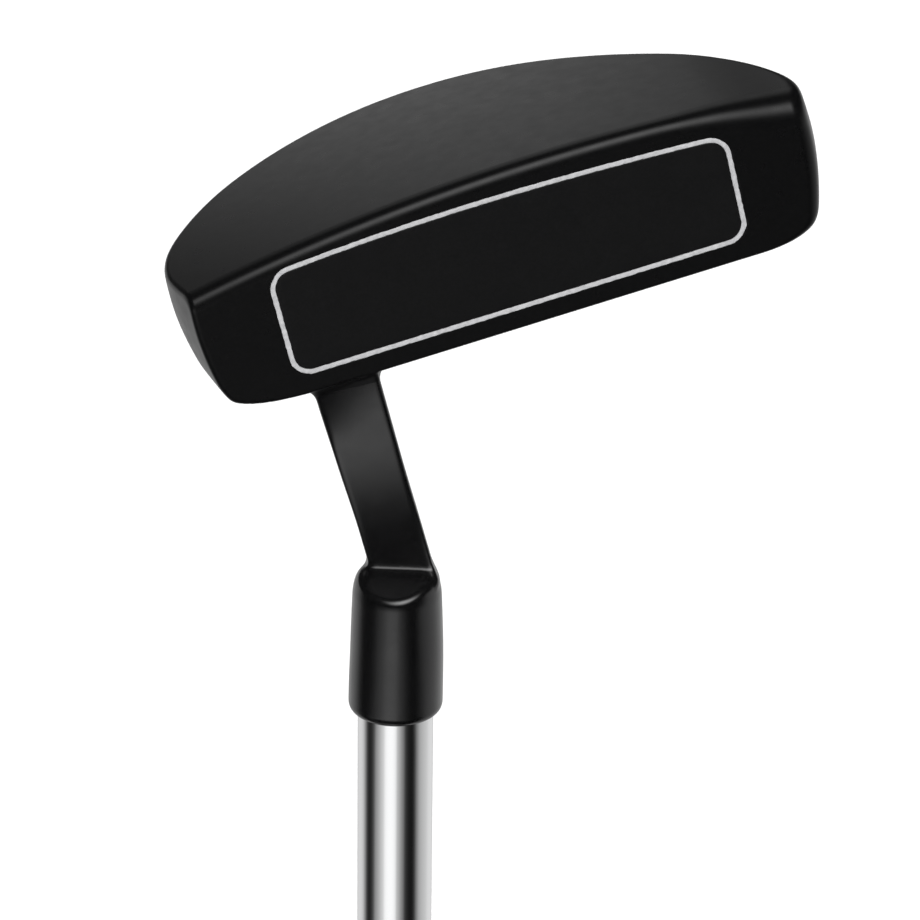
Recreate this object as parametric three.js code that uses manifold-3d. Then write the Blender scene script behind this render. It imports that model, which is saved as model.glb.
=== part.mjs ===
// Right-handed semi-mallet putter, standing on its grip with the head up, as it is kept in a bag.
// Millimetres and degrees. The shaft axis is Z, the origin is the middle of the flat butt end of
// the grip, the face looks to -Y and the toe points to +X.
import * as THREE from 'three';
import { mergeVertices } from 'three/addons/utils/BufferGeometryUtils.js';
import Module from 'manifold-3d';

const wasm = await Module();
wasm.setup();

// ---------- driving dimensions ----------
const CLUB_LENGTH = 889;        // butt to sole along the shaft axis, 35 inches
const LIE = 75.7;               // shaft axis to the ground at address
const LOFT = 3;                 // lean of the face at address
const FIT = 0.3;                // gap between pieces that touch

// Head, in its address frame: x to the toe, y out of the face, z up from the ground. The origin
// is where the shaft axis meets the ground. "Back" is a distance behind that axis, so it is -y.
const HEAD_MIDDLE = 14;         // x of the middle of the head, where the sight lines are centred
const HEAD_REACH = 47.5;        // half the length of the head
const FACE_SETBACK = 0.64;      // leading edge behind the shaft axis
const FACE_HEIGHT = 26.4;       // ground to topline
const TOPLINE_DEPTH = 3.5;      // width of the flat topline
const TOPLINE_CHAMFER = 0.4;    // broken front edge of the topline
const HEAD_DEPTH = 44;          // leading edge to the rear of the flange
const SOLE_RADIUS = 300;        // heel-to-toe camber
const SOLE_LOW_X = 23;          // x of the lowest point of the sole
const SOLE_REAR_RISE = 1.8;     // height of the rear edge above the leading edge
const SIDE_BULGE_Z = 10;        // height where the heel and toe ends are widest
const SIDE_BULGE = 0.0098;      // narrowing of the ends, mm per mm squared from that height
const SLOPE_FOOT_BACK = 19.5;   // where the hollow back slope meets the flange
const SLOPE_FOOT_Z = 6.2;
const SLOPE_HOLLOW_BACK = 5.2;  // how far behind the topline the slope's guide point lies
const SLOPE_HOLLOW_Z = 12;      // height of that guide point
const FLANGE_REAR = 43.8;       // rear end of the sight lines
const FLANGE_RADIUS = 600;      // heel-to-toe curve of the flange top
const FLANGE_CREST_X = 20;      // x where that curve is lowest
const FLANGE_FALL = 3.5;        // degrees that the flange top falls to the rear
const POCKET_DEPTH = 1.6;
const RIM_WIDTH = 2.8;          // raised rim around the pockets
const PLATFORM_HALF = 18;       // half the width of the platform between the pockets

const INSERT_HALF = 34.9;       // half the length of the face insert's trim line
const INSERT_TOP = 22.6;
const INSERT_LOW = 4.1;         // lowest point of the trim line's curved lower edge
const INSERT_LOW_X = -4;        // where that point pulls the curve, from the middle of the head
const INSERT_LOW_RISE = 1.4;    // rise of that edge at the two ends
const INSERT_CORNER = 2.9;
const INSERT_DEPTH = 2.4;
const TRIM_WIDTH = 0.85;
const TRIM_DEPTH = 1.2;
const ADHESIVE_DEPTH = 0.3;

const SIGHT_PITCH = 9.7;        // centre line to outer lines
const SIGHT_WIDTH = 1.9;
const SIGHT_FOOT = 7.6;         // length of the foot of an outer line
const SIGHT_FOOT_DEPTH = 1.3;
const SIGHT_CLIMB = 3.4;        // how far the centre line runs forward up the slope
const SIGHT_CLIMB_Z = 2.4;
const PAINT_DEPTH = 0.5;
const OPEN = 3;                 // how far a painted groove's cutter stands proud of the surface
const EDGE_LINE_RADIUS = 0.5;
const EDGE_LINE_GROOVE = 0.85;
const EDGE_LINE_STEPS = 8;
const EDGE_LINE_REACH = { toe: 44.6, heel: 46.6 };  // end of each edge line from the middle
const EDGE_RISE = 1.1;          // how far the painted edge lines climb the slope midway
const MARK_HALF = 0.8;          // half the width of the mark on the topline
const MARK_DEPTH = 0.7;

// Neck and hosel
const RIM_TO_SOLE = 82.5;       // hosel rim to the ground along the shaft axis
const NECK_X = -13.7;           // middle of the neck in the address frame
const NECK_WIDTH = 9.3;
const NECK_EDGE = 1.3;          // rounding of the neck's long edges
const NECK_TOP = 60;            // height where the neck ends inside the barrel
const NECK_ROOT = 12;           // height where the neck ends inside the head
const HOSEL_RIM_RADIUS = 7.15;
const HOSEL_TOP_RADIUS = 6.1;
const HOSEL_LENGTH = 24.5;      // rim to the top of the barrel at the rear
const LEDGE_FRONT = 21.5;       // rim to the front edge of the sloping ledge
const SOCKET_DEPTH = 14;

// Shaft and grip
const SHAFT_TIP_RADIUS = 5.75;
const SHAFT_BUTT_RADIUS = 7.2;
const SHAFT_WALL = 0.6;
const SHAFT_STEPS = 8;
const SHAFT_STEP_LENGTH = 1.2;  // length of the cone at each step
const SHAFT_STEP_MARGIN = 60;   // plain tube between the steps and the grip or hosel
const SOCKET_RADIUS = SHAFT_TIP_RADIUS + 0.45;
const PLUG_LENGTH = 9;
const GRIP_LENGTH = 257;
const GRIP_TAPE = 0.4;
const CAP_HEIGHT = 3;
const SPIGOT_LENGTH = 8;
const BUTT_RING_Z = [3, 5.5];
const BUTT_RING_HEIGHT = 2;
const MOUTH_RING_Z = [243.1, 245.1];
const MOUTH_RING_HEIGHT = 1.6;
const RING_DEPTH = 0.7;
const RING_FIT = 0.1;
const BADGE_Z = 116.5;
const BADGE_HALF_HEIGHT = 23;
const BADGE_HALF_WIDTH = 7;
const BADGE_LINE = 1;

// Grip sections: height, then half sizes to the flat front (toe side), to the back and sideways.
const GRIP_STATIONS = [
  [0, 13.2, 14.2, 13.4], [9, 14.0, 15.6, 14.6], [20, 13.9, 15.1, 14.2], [60, 13.4, 12.9, 13.0],
  [105, 12.7, 11.3, 12.0], [150, 11.5, 10.5, 11.3], [200, 11.1, 10.2, 10.8], [222, 10.9, 9.9, 10.5],
  [243, 8.9, 8.9, 8.9], [GRIP_LENGTH, 8.1, 8.1, 8.1],
];
const GRIP_FLATNESS = 0.62;     // how square the front of the grip is below its neck

const RAD = Math.PI / 180;
const RIM_Z = CLUB_LENGTH - RIM_TO_SOLE;
const SHAFT_TOP_Z = RIM_Z + SOCKET_DEPTH - 0.8;
const SHAFT_BOTTOM_Z = CAP_HEIGHT + 1;

const LOOKS = {
  blackPaint: { color: 0x0b0b0c, roughness: 0.42, metalness: 0.2 },
  insert: { color: 0x0e0e0f, roughness: 0.6, metalness: 0 },
  trim: { color: 0xc6c7c9, roughness: 0.45, metalness: 0.3 },
  whitePaint: { color: 0xe9e9e7, roughness: 0.5, metalness: 0 },
  greyPaint: { color: 0xa9aaac, roughness: 0.5, metalness: 0 },
  adhesive: { color: 0x8d8a80, roughness: 0.6, metalness: 0 },
  chrome: { color: 0xd8dadd, roughness: 0.12, metalness: 1 },
  plug: { color: 0xb9a582, roughness: 0.9, metalness: 0 },
  rubber: { color: 0x131314, roughness: 0.8, metalness: 0 },
  tape: { color: 0xcfc6ae, roughness: 0.85, metalness: 0 },
};

// ---------- solids ----------
function toSolid(geometry) {
  const bare = geometry.clone();
  bare.deleteAttribute('normal');
  bare.deleteAttribute('uv');
  const merged = mergeVertices(bare, 1e-4);
  const index = merged.index.array;
  const kept = [];
  for (let i = 0; i < index.length; i += 3) {
    const [a, b, c] = [index[i], index[i + 1], index[i + 2]];
    if (a !== b && b !== c && c !== a) kept.push(a, b, c);
  }
  const vertProperties = Float32Array.from(merged.attributes.position.array);
  const triVerts = Uint32Array.from(kept);
  return new wasm.Manifold(new wasm.Mesh({ numProp: 3, vertProperties, triVerts }));
}

function toGeometry(solid) {
  const { vertProperties, triVerts } = solid.getMesh();
  const geometry = new THREE.BufferGeometry();
  geometry.setAttribute('position', new THREE.BufferAttribute(Float32Array.from(vertProperties), 3));
  geometry.setIndex(new THREE.BufferAttribute(Uint32Array.from(triVerts), 1));
  geometry.computeVertexNormals();
  return geometry;
}

function axes(x, y, z, at = [0, 0, 0]) {
  const matrix = new THREE.Matrix4();
  matrix.makeBasis(new THREE.Vector3(...x), new THREE.Vector3(...y), new THREE.Vector3(...z));
  return matrix.setPosition(...at);
}

// A side outline, drawn as (y, z), pushed along x from x0 to x1.
function acrossX(shape, x0, x1, options = {}) {
  const geometry = new THREE.ExtrudeGeometry(shape, { depth: x1 - x0, bevelEnabled: false, ...options });
  return geometry.applyMatrix4(axes([0, 1, 0], [0, 0, 1], [1, 0, 0], [x0, 0, 0]));
}

// A front outline, drawn as (x, z), pushed backwards from y0 to y1.
function backwards(shape, y0, y1, options = {}) {
  const geometry = new THREE.ExtrudeGeometry(shape, { depth: y0 - y1, bevelEnabled: false, ...options });
  return geometry.applyMatrix4(axes([1, 0, 0], [0, 0, 1], [0, -1, 0], [0, y0, 0]));
}

// A plan outline, drawn as (x, y), pushed up from z0 to z1.
function upwards(shape, z0, z1, options = {}) {
  const geometry = new THREE.ExtrudeGeometry(shape, { depth: z1 - z0, bevelEnabled: false, ...options });
  return geometry.translate(0, 0, z0);
}

function box(x0, x1, y0, y1, z0, z1) {
  const geometry = new THREE.BoxGeometry(x1 - x0, y1 - y0, z1 - z0);
  return geometry.translate((x0 + x1) / 2, (y0 + y1) / 2, (z0 + z1) / 2);
}

// A solid turned about Z from (radius, z) points that start and end on the axis or close.
function turned(points, segments) {
  const profile = points.map(([radius, z]) => new THREE.Vector2(radius, z));
  return new THREE.LatheGeometry(profile, segments).rotateX(Math.PI / 2);
}

function rod(radius, z0, z1, segments) {
  return turned([[0, z0], [radius, z0], [radius, z1], [0, z1]], segments);
}

function pipe(inner, outer, z0, z1, segments) {
  return turned([[inner, z0], [outer, z0], [outer, z1], [inner, z1], [inner, z0]], segments);
}

function piece(name, geometry, look) {
  const mesh = new THREE.Mesh(geometry, new THREE.MeshStandardMaterial(look));
  mesh.name = name;
  return mesh;
}

// Where the head's address frame stands in the club: turned over about X, tilted by the lie
// about Y, with the ground at the far end of the shaft axis.
function addressMatrix() {
  const over = new THREE.Matrix4().makeRotationX(Math.PI);
  const lie = new THREE.Matrix4().makeRotationY(-(90 - LIE) * RAD);
  const place = new THREE.Matrix4().makeTranslation(0, 0, CLUB_LENGTH);
  return place.multiply(lie).multiply(over);
}

function seenFromAddress(geometry) {
  return toSolid(geometry.applyMatrix4(addressMatrix().invert()));
}

// ---------- head ----------
// Distance of the face plane behind the axis at a height.
const faceBack = (z) => FACE_SETBACK + z * Math.tan(LOFT * RAD);

// D-shaped plan of the head, drawn in by an inset. The rear is one smooth curve through
// hand-set points, each given as x and back, from the toe end of the face to the heel end.
function planShape(inset) {
  const rear = [[61.2, 0.6], [62.6, 8.6], [57, 19.9], [42.8, 32], [25, 41.5], [8, HEAD_DEPTH + FACE_SETBACK],
    [-8, 42.2], [-22.6, 34.6], [-32.2, 23.5], [-35.1, 13], [-33.2, 1]];
  const middle = new THREE.Vector2(HEAD_MIDDLE, -4);
  const points = rear.map(([x, back]) => {
    const point = new THREE.Vector2(x, -back);
    const inward = middle.clone().sub(point).normalize();
    return point.addScaledVector(inward, inset);
  });
  const curve = new THREE.SplineCurve(points).getPoints(50);
  const shape = new THREE.Shape();
  shape.moveTo(curve[0].x, 4);
  curve.forEach((point) => shape.lineTo(point.x, point.y));
  shape.lineTo(curve.at(-1).x, 4);
  return shape;
}

// The plan pushed up, with its ends bulging slightly and drawn in towards the topline.
function headBlank() {
  const geometry = upwards(planShape(0), -2, FACE_HEIGHT + 2, { steps: 7 });
  const position = geometry.attributes.position;
  for (let i = 0; i < position.count; i += 1) {
    const reach = position.getX(i) - HEAD_MIDDLE;
    const narrowing = SIDE_BULGE * (position.getZ(i) - SIDE_BULGE_Z) ** 2;
    position.setX(i, HEAD_MIDDLE + reach * (1 - narrowing / HEAD_REACH));
  }
  return toSolid(geometry);
}

// A wide barrel lying along Y, whose lowest strip is the cambered sole.
function soleDrum() {
  const margin = 8;
  const profile = [[0, -margin]];
  for (let back = -margin; back <= HEAD_DEPTH + margin; back += 4) {
    const along = Math.max(back - FACE_SETBACK, 0) / HEAD_DEPTH;
    profile.push([SOLE_RADIUS - SOLE_REAR_RISE * along ** 2, back]);
  }
  profile.push([0, HEAD_DEPTH + margin]);
  const lying = axes([1, 0, 0], [0, 0, 1], [0, -1, 0], [SOLE_LOW_X, 0, SOLE_RADIUS]);
  return toSolid(turned(profile, 240).applyMatrix4(lying));
}

// Rounded corners, seen from the front: small at the toe, long and low on top of the heel.
function cornerOutline() {
  const shape = new THREE.Shape();
  shape.moveTo(-60, -6);
  shape.lineTo(54, -6);
  shape.lineTo(54, 1.2);
  shape.quadraticCurveTo(62, 1.6, 62.9, 7.5);
  shape.lineTo(64, 14);
  shape.lineTo(62.8, 19.5);
  shape.quadraticCurveTo(60.6, FACE_HEIGHT, 51, FACE_HEIGHT);
  shape.lineTo(-20, FACE_HEIGHT);
  shape.quadraticCurveTo(-29.6, 25.6, -31.4, 23.4);
  shape.lineTo(-36, 17);
  shape.lineTo(-60, 17);
  return shape;
}

// The upper back edge of the topline, where the hollow slope starts.
function slopeStart() {
  return { back: faceBack(FACE_HEIGHT) + TOPLINE_DEPTH + 0.2, z: FACE_HEIGHT - 0.7 };
}

// Face plane, topline and hollow back slope, seen from the side.
function slopeOutline() {
  const topFront = -faceBack(FACE_HEIGHT);
  const start = slopeStart();
  const below = FACE_HEIGHT - TOPLINE_CHAMFER;
  const skirt = SLOPE_FOOT_BACK + 0.4;
  const shape = new THREE.Shape();
  shape.moveTo(-faceBack(-6), -6);
  shape.lineTo(-faceBack(below), below);
  shape.lineTo(topFront - TOPLINE_CHAMFER, FACE_HEIGHT);
  shape.lineTo(-start.back + 0.8, FACE_HEIGHT);
  shape.lineTo(-start.back, start.z);
  shape.quadraticCurveTo(-start.back - SLOPE_HOLLOW_BACK, SLOPE_HOLLOW_Z, -SLOPE_FOOT_BACK, SLOPE_FOOT_Z);
  shape.lineTo(-skirt, SLOPE_FOOT_Z - 0.4);
  shape.lineTo(-skirt, -6);
  return shape;
}

// Distance behind the axis of that slope at a height: the same curve, solved for the height.
function slopeBack(z) {
  const start = slopeStart();
  const a = start.z - 2 * SLOPE_HOLLOW_Z + SLOPE_FOOT_Z;
  const b = 2 * (SLOPE_HOLLOW_Z - start.z);
  const t = (-b - Math.sqrt(b * b - 4 * a * (start.z - Math.max(z, SLOPE_FOOT_Z)))) / (2 * a);
  const guide = start.back + SLOPE_HOLLOW_BACK;
  return start.back * (1 - t) ** 2 + 2 * guide * t * (1 - t) + SLOPE_FOOT_BACK * t ** 2;
}

// Everything below the gently arched top of the flange, dropped by a depth.
function flangeBelow(drop) {
  const reach = 70;
  const sag = reach ** 2 / (2 * FLANGE_RADIUS);
  const shape = new THREE.Shape();
  shape.moveTo(-reach, -20);
  shape.lineTo(reach, -20);
  shape.lineTo(reach, sag);
  shape.quadraticCurveTo(0, -sag, -reach, sag);
  const geometry = backwards(shape, 10, -60, { curveSegments: 24 });
  geometry.translate(0, SLOPE_FOOT_BACK, 0);
  geometry.rotateX(FLANGE_FALL * RAD);
  geometry.translate(FLANGE_CREST_X, -SLOPE_FOOT_BACK, SLOPE_FOOT_Z - drop);
  return toSolid(geometry);
}

function flangeTop(x, back) {
  const arch = (x - FLANGE_CREST_X) ** 2 / (2 * FLANGE_RADIUS);
  return SLOPE_FOOT_Z + arch - (back - SLOPE_FOOT_BACK) * Math.tan(FLANGE_FALL * RAD);
}

// Outline of the face insert, grown outwards by an offset: straight top, curved lower edge.
function insertShape(offset) {
  const half = INSERT_HALF + offset;
  const top = INSERT_TOP + offset;
  const corner = Math.max(INSERT_CORNER + offset, 0.5);
  const low = INSERT_LOW - offset;
  const end = low + INSERT_LOW_RISE;
  const near = low + INSERT_LOW_RISE * ((half - corner) / half) ** 2;
  const shape = new THREE.Shape();
  shape.moveTo(-half, end + corner);
  shape.lineTo(-half, top - corner);
  shape.quadraticCurveTo(-half, top, -half + corner, top);
  shape.lineTo(half - corner, top);
  shape.quadraticCurveTo(half, top, half, top - corner);
  shape.lineTo(half, end + corner);
  shape.quadraticCurveTo(half, end, half - corner, near);
  shape.quadraticCurveTo(INSERT_LOW_X, 2 * low - near, -half + corner, near);
  shape.quadraticCurveTo(-half, end, -half, end + corner);
  return shape;
}

// A plate let into the face: its outline's offset, and how deep its front and rear lie.
function faceplate(offset, front, rear) {
  const geometry = backwards(insertShape(offset), -front, -rear, { curveSegments: 10 });
  geometry.rotateX(LOFT * RAD);
  return toSolid(geometry.translate(HEAD_MIDDLE, -FACE_SETBACK, 0));
}

// Painted strip along the top of the flange. The centre line also climbs the foot of the slope.
// As a cutter it is grown all round and stands proud of the surface.
function sightStrip(x, climbs, grow, rear) {
  const low = PAINT_DEPTH + grow;
  const proud = grow ? OPEN : 0;
  const rearTop = flangeTop(HEAD_MIDDLE, rear);
  const shape = new THREE.Shape();
  shape.moveTo(-rear - grow, rearTop - low);
  shape.lineTo(-rear - grow, rearTop + proud);
  shape.lineTo(-SLOPE_FOOT_BACK, SLOPE_FOOT_Z + proud);
  if (climbs) {
    const front = SIGHT_CLIMB - SLOPE_FOOT_BACK;
    shape.lineTo(front + (grow ? 1 : 0), SLOPE_FOOT_Z + SIGHT_CLIMB_Z + proud);
    shape.lineTo(front - 0.2 + grow, SLOPE_FOOT_Z + SIGHT_CLIMB_Z - 0.4 - low);
  } else {
    shape.lineTo(grow - SLOPE_FOOT_BACK, SLOPE_FOOT_Z + proud);
    shape.lineTo(grow - SLOPE_FOOT_BACK, SLOPE_FOOT_Z - low);
  }
  shape.lineTo(-SLOPE_FOOT_BACK - 0.3, SLOPE_FOOT_Z - low);
  const half = SIGHT_WIDTH / 2 + grow;
  return toSolid(acrossX(shape, x - half, x + half));
}

// Outer sight line with its foot, which points away from the middle.
function outerSight(side, grow) {
  const inner = HEAD_MIDDLE + side * SIGHT_PITCH;
  const outer = inner + side * SIGHT_FOOT;
  const top = SLOPE_FOOT_Z + (grow ? OPEN : -0.1);
  const foot = box(Math.min(inner, outer) - grow, Math.max(inner, outer) + grow,
    -SLOPE_FOOT_BACK - SIGHT_FOOT_DEPTH - grow, -SLOPE_FOOT_BACK + grow,
    SLOPE_FOOT_Z - PAINT_DEPTH - grow, top);
  return sightStrip(inner, false, grow, FLANGE_REAR - 0.8).add(toSolid(foot));
}

// Thin painted line along the foot of the slope, from the platform to one end of the head. It
// climbs the slope a little on its way.
function edgePath(end) {
  const side = end === 'toe' ? 1 : -1;
  const from = PLATFORM_HALF + 1.2;
  const points = [];
  for (let i = 0; i <= EDGE_LINE_STEPS; i += 1) {
    const along = i / EDGE_LINE_STEPS;
    const x = HEAD_MIDDLE + side * (from + (EDGE_LINE_REACH[end] - from) * along);
    const z = flangeTop(x, SLOPE_FOOT_BACK - 1) + EDGE_RISE * Math.sin(Math.PI * along ** 1.3);
    points.push(new THREE.Vector3(x, -slopeBack(z) - 0.05, z));
  }
  return new THREE.CatmullRomCurve3(points);
}

function edgeTube(end, radius) {
  const section = new THREE.Shape();
  section.absarc(0, 0, radius, 0, 2 * Math.PI);
  const options = { extrudePath: edgePath(end), steps: 2 * EDGE_LINE_STEPS, curveSegments: 4 };
  return toSolid(new THREE.ExtrudeGeometry(section, options));
}

// Region behind a painted edge line, where the pocket on that side is cut.
function behindEdge(end) {
  const side = end === 'toe' ? 1 : -1;
  const rear = -HEAD_DEPTH - 36;
  const far = HEAD_MIDDLE + side * (HEAD_REACH + 12.5);
  const near = HEAD_MIDDLE + side * PLATFORM_HALF;
  const points = edgePath(end).getPoints(12);
  const shape = new THREE.Shape();
  shape.moveTo(near, rear);
  shape.lineTo(near, points[0].y - 0.6);
  points.forEach((point) => shape.lineTo(point.x, point.y - 0.6));
  shape.lineTo(far, points.at(-1).y - 0.6);
  shape.lineTo(far, rear);
  return toSolid(upwards(shape, -4, 40));
}

// Short white mark across the topline, in line with the centre sight line.
function topMark(grow) {
  const rear = -faceBack(FACE_HEIGHT) - TOPLINE_DEPTH;
  const half = MARK_HALF + grow;
  return box(HEAD_MIDDLE - half, HEAD_MIDDLE + half, rear + 0.7 - grow, rear + 2.9 + grow,
    FACE_HEIGHT - MARK_DEPTH - grow, FACE_HEIGHT + (grow ? 2 : 0));
}

// ---------- neck and hosel ----------
// The neck seen from the side: hollow in front, running into the rear half of the barrel.
function neckShape(grow) {
  const shape = new THREE.Shape();
  shape.moveTo(-3.1 + grow, FACE_HEIGHT - 3);
  shape.lineTo(-3.1 + grow, FACE_HEIGHT + 1);
  shape.bezierCurveTo(-3.6 + grow, 36, -2.6 + grow, 44, -0.6 + grow, 54.5);
  shape.lineTo(-0.6 + grow, NECK_TOP);
  shape.lineTo(-6.2 - grow, NECK_TOP);
  shape.lineTo(-6.4 - grow, 54);
  shape.bezierCurveTo(-7.4 - grow, 46, -9.6 - grow, 38, -9.8 - grow, FACE_HEIGHT + 1);
  shape.quadraticCurveTo(-10.2 - grow, 20, -12.5 - grow, NECK_ROOT);
  shape.lineTo(-6, NECK_ROOT);
  return shape;
}

function neckBar() {
  const flat = NECK_WIDTH - 2 * NECK_EDGE;
  const bevel = { bevelEnabled: true, bevelThickness: NECK_EDGE, bevelSize: NECK_EDGE, bevelSegments: 4 };
  return toSolid(acrossX(neckShape(-NECK_EDGE), NECK_X - flat / 2, NECK_X + flat / 2, bevel));
}

// Barrel above the rim that receives the shaft, measured from the rim along the shaft.
function hoselBarrel() {
  const rim = HOSEL_RIM_RADIUS;
  const top = HOSEL_TOP_RADIUS;
  const profile = [[0, 0], [rim - 1, 0], [rim - 0.3, 0.3], [rim, 1], [rim - 0.12, 6], [rim - 0.35, 14],
    [top + 0.1, HOSEL_LENGTH - 2.6], [top - 0.5, HOSEL_LENGTH - 1], [top - 1.5, HOSEL_LENGTH],
    [0, HOSEL_LENGTH]];
  return turned(profile, 48).translate(0, 0, RIM_Z);
}

// Hollow ledge that takes the front of the barrel's top away, leaving the half that joins the neck.
function ledgeCutter() {
  const shape = new THREE.Shape();
  shape.moveTo(-12, LEDGE_FRONT - 0.6);
  shape.lineTo(-HOSEL_RIM_RADIUS + 0.6, LEDGE_FRONT);
  shape.quadraticCurveTo(-2.2, LEDGE_FRONT + 1.2, 0.2, LEDGE_FRONT + 3.2);
  shape.lineTo(0.6, HOSEL_LENGTH + 8);
  shape.lineTo(-12, HOSEL_LENGTH + 8);
  return acrossX(shape, -12, 12, { curveSegments: 8 }).translate(0, 0, RIM_Z);
}

// One casting: hollow-backed head, neck and hosel barrel, cut for the insert, the paint and
// the shaft's socket.
function headBody() {
  const blank = headBlank();
  const behindFace = toSolid(box(-60, 80, -70, -8, -9, 40));
  const flange = blank.intersect(flangeBelow(0)).intersect(behindFace);
  const wall = blank.intersect(toSolid(acrossX(slopeOutline(), -60, 80, { curveSegments: 14 })));
  const pocketPlan = toSolid(upwards(planShape(RIM_WIDTH), -3, 30));
  const pocketSides = behindEdge('heel').add(behindEdge('toe'));
  const pockets = pocketPlan.intersect(pocketSides).subtract(flangeBelow(POCKET_DEPTH));
  const corners = toSolid(backwards(cornerOutline(), 20, -70, { curveSegments: 10 }));
  const barrel = seenFromAddress(hoselBarrel()).subtract(seenFromAddress(ledgeCutter()));
  const cutters = [
    faceplate(TRIM_WIDTH / 2 + FIT, -2, INSERT_DEPTH + ADHESIVE_DEPTH + 2 * FIT),
    sightStrip(HEAD_MIDDLE, true, FIT, FLANGE_REAR),
    outerSight(-1, FIT),
    outerSight(1, FIT),
    edgeTube('heel', EDGE_LINE_GROOVE),
    edgeTube('toe', EDGE_LINE_GROOVE),
    toSolid(topMark(FIT)),
    seenFromAddress(rod(SOCKET_RADIUS, RIM_Z - 1, RIM_Z + SOCKET_DEPTH, 48)),
  ];
  const head = flange.add(wall).subtract(pockets).intersect(soleDrum()).intersect(corners);
  return cutters.reduce((body, cutter) => body.subtract(cutter), head.add(neckBar()).add(barrel));
}

// ---------- shaft ----------
// Outer radius of the stepped tube, thinner at each step towards the head.
function shaftOutline(inset) {
  const first = GRIP_LENGTH + SHAFT_STEP_MARGIN;
  const last = RIM_Z - SHAFT_STEP_MARGIN;
  const pitch = (last - first) / (SHAFT_STEPS - 1);
  const drop = (SHAFT_BUTT_RADIUS - SHAFT_TIP_RADIUS) / SHAFT_STEPS;
  const points = [[SHAFT_BUTT_RADIUS - inset, SHAFT_BOTTOM_Z]];
  for (let i = 0; i < SHAFT_STEPS; i += 1) {
    const z = first + i * pitch;
    points.push([SHAFT_BUTT_RADIUS - i * drop - inset, z]);
    points.push([SHAFT_BUTT_RADIUS - (i + 1) * drop - inset, z + SHAFT_STEP_LENGTH]);
  }
  points.push([SHAFT_TIP_RADIUS - inset, SHAFT_TOP_Z]);
  return points;
}

function shaftTube() {
  const outer = shaftOutline(0);
  const inner = shaftOutline(SHAFT_WALL).reverse();
  return turned([...outer, ...inner, outer[0]], 32);
}

// Plug that keeps the epoxy out of the tip of the tube.
function tipPlug() {
  const radius = SHAFT_TIP_RADIUS - SHAFT_WALL - 0.05;
  const profile = [[0, SHAFT_TOP_Z - PLUG_LENGTH], [radius, SHAFT_TOP_Z - PLUG_LENGTH],
    [radius, SHAFT_TOP_Z - 0.5], [radius - 0.5, SHAFT_TOP_Z], [0, SHAFT_TOP_Z]];
  return turned(profile, 32);
}

// Bonded joint between the tube and the socket of the hosel.
function epoxySleeve() {
  return pipe(SHAFT_TIP_RADIUS + 0.05, SOCKET_RADIUS - 0.2, RIM_Z + 0.6, SHAFT_TOP_Z - 0.3, 40);
}

// ---------- grip ----------
function gripSize(z) {
  const last = GRIP_STATIONS.length - 1;
  let i = 0;
  while (i < last - 1 && z > GRIP_STATIONS[i + 1][0]) i += 1;
  const [from, to] = [GRIP_STATIONS[i], GRIP_STATIONS[i + 1]];
  const t = THREE.MathUtils.clamp((z - from[0]) / (to[0] - from[0]), 0, 1);
  const eased = t * t * (3 - 2 * t);
  const blend = i < 2 || i > 6 ? eased : t;
  return [1, 2, 3].map((k) => THREE.MathUtils.lerp(from[k], to[k], blend));
}

// How square the front of the grip is at a height: round at the mouth, flat below.
const gripFlatness = (z) => GRIP_FLATNESS * (1 - THREE.MathUtils.smoothstep(z, 190, 243));

// One section of the grip: a D with a flat front and rounded sides, as a function of angle.
function gripPoint(angle, z, inset) {
  const [front, back, side] = gripSize(z).map((size) => size - inset);
  const c = Math.cos(angle);
  const s = Math.sin(angle);
  const square = 1 - gripFlatness(z);
  const x = c > 0 ? front * c ** square : -back * Math.abs(c) ** 0.94;
  return [x, side * Math.sign(s) * Math.abs(s) ** 0.96];
}

// The grip's outer skin between two heights, as a closed solid, drawn in by an inset. The
// turned solid starts with radius 1 and is pushed out to the section at each height.
function gripSkin(inset, z0, z1, roundButt = false) {
  const profile = [[0, z0]];
  if (roundButt) profile.push([0.86, z0], [0.95, z0 + 0.7], [0.985, z0 + 1.6]);
  else profile.push([1, z0]);
  const rows = Math.max(1, Math.round((z1 - z0) / 13));
  for (let i = 1; i <= rows; i += 1) profile.push([1, z0 + (z1 - z0) * (i / rows)]);
  profile.push([0, z1]);
  const geometry = turned(profile, 36);
  const position = geometry.attributes.position;
  for (let i = 0; i < position.count; i += 1) {
    const scale = Math.hypot(position.getX(i), position.getY(i));
    const angle = Math.atan2(position.getY(i), position.getX(i));
    const [x, y] = gripPoint(angle, position.getZ(i), inset);
    position.setXY(i, x * scale, y * scale);
  }
  return toSolid(geometry);
}

// Painted ring that fills a groove in the sleeve. Grown, it is the cutter of that groove.
function ring(z, height, grow) {
  const outer = gripSkin(grow ? -1 : 0, z - grow / 2, z + height + grow / 2);
  return outer.subtract(gripSkin(RING_DEPTH + grow, z - 1, z + height + 1));
}

// Generic oval outline inlaid in the flat front of the grip.
function badge(grow) {
  const oval = (extra) => {
    const shape = new THREE.Shape();
    shape.absellipse(0, 0, BADGE_HALF_WIDTH + extra, BADGE_HALF_HEIGHT + extra, 0, 2 * Math.PI);
    return toSolid(acrossX(shape, 2, 22, { curveSegments: 20 }).translate(0, 0, BADGE_Z));
  };
  const band = oval(grow).subtract(oval(-BADGE_LINE - grow));
  const [low, high] = [BADGE_Z - 40, BADGE_Z + 40];
  const outer = gripSkin(grow ? -1 : 0, low, high);
  return band.intersect(outer).subtract(gripSkin(RING_DEPTH + grow, low - 1, high + 1));
}

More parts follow.
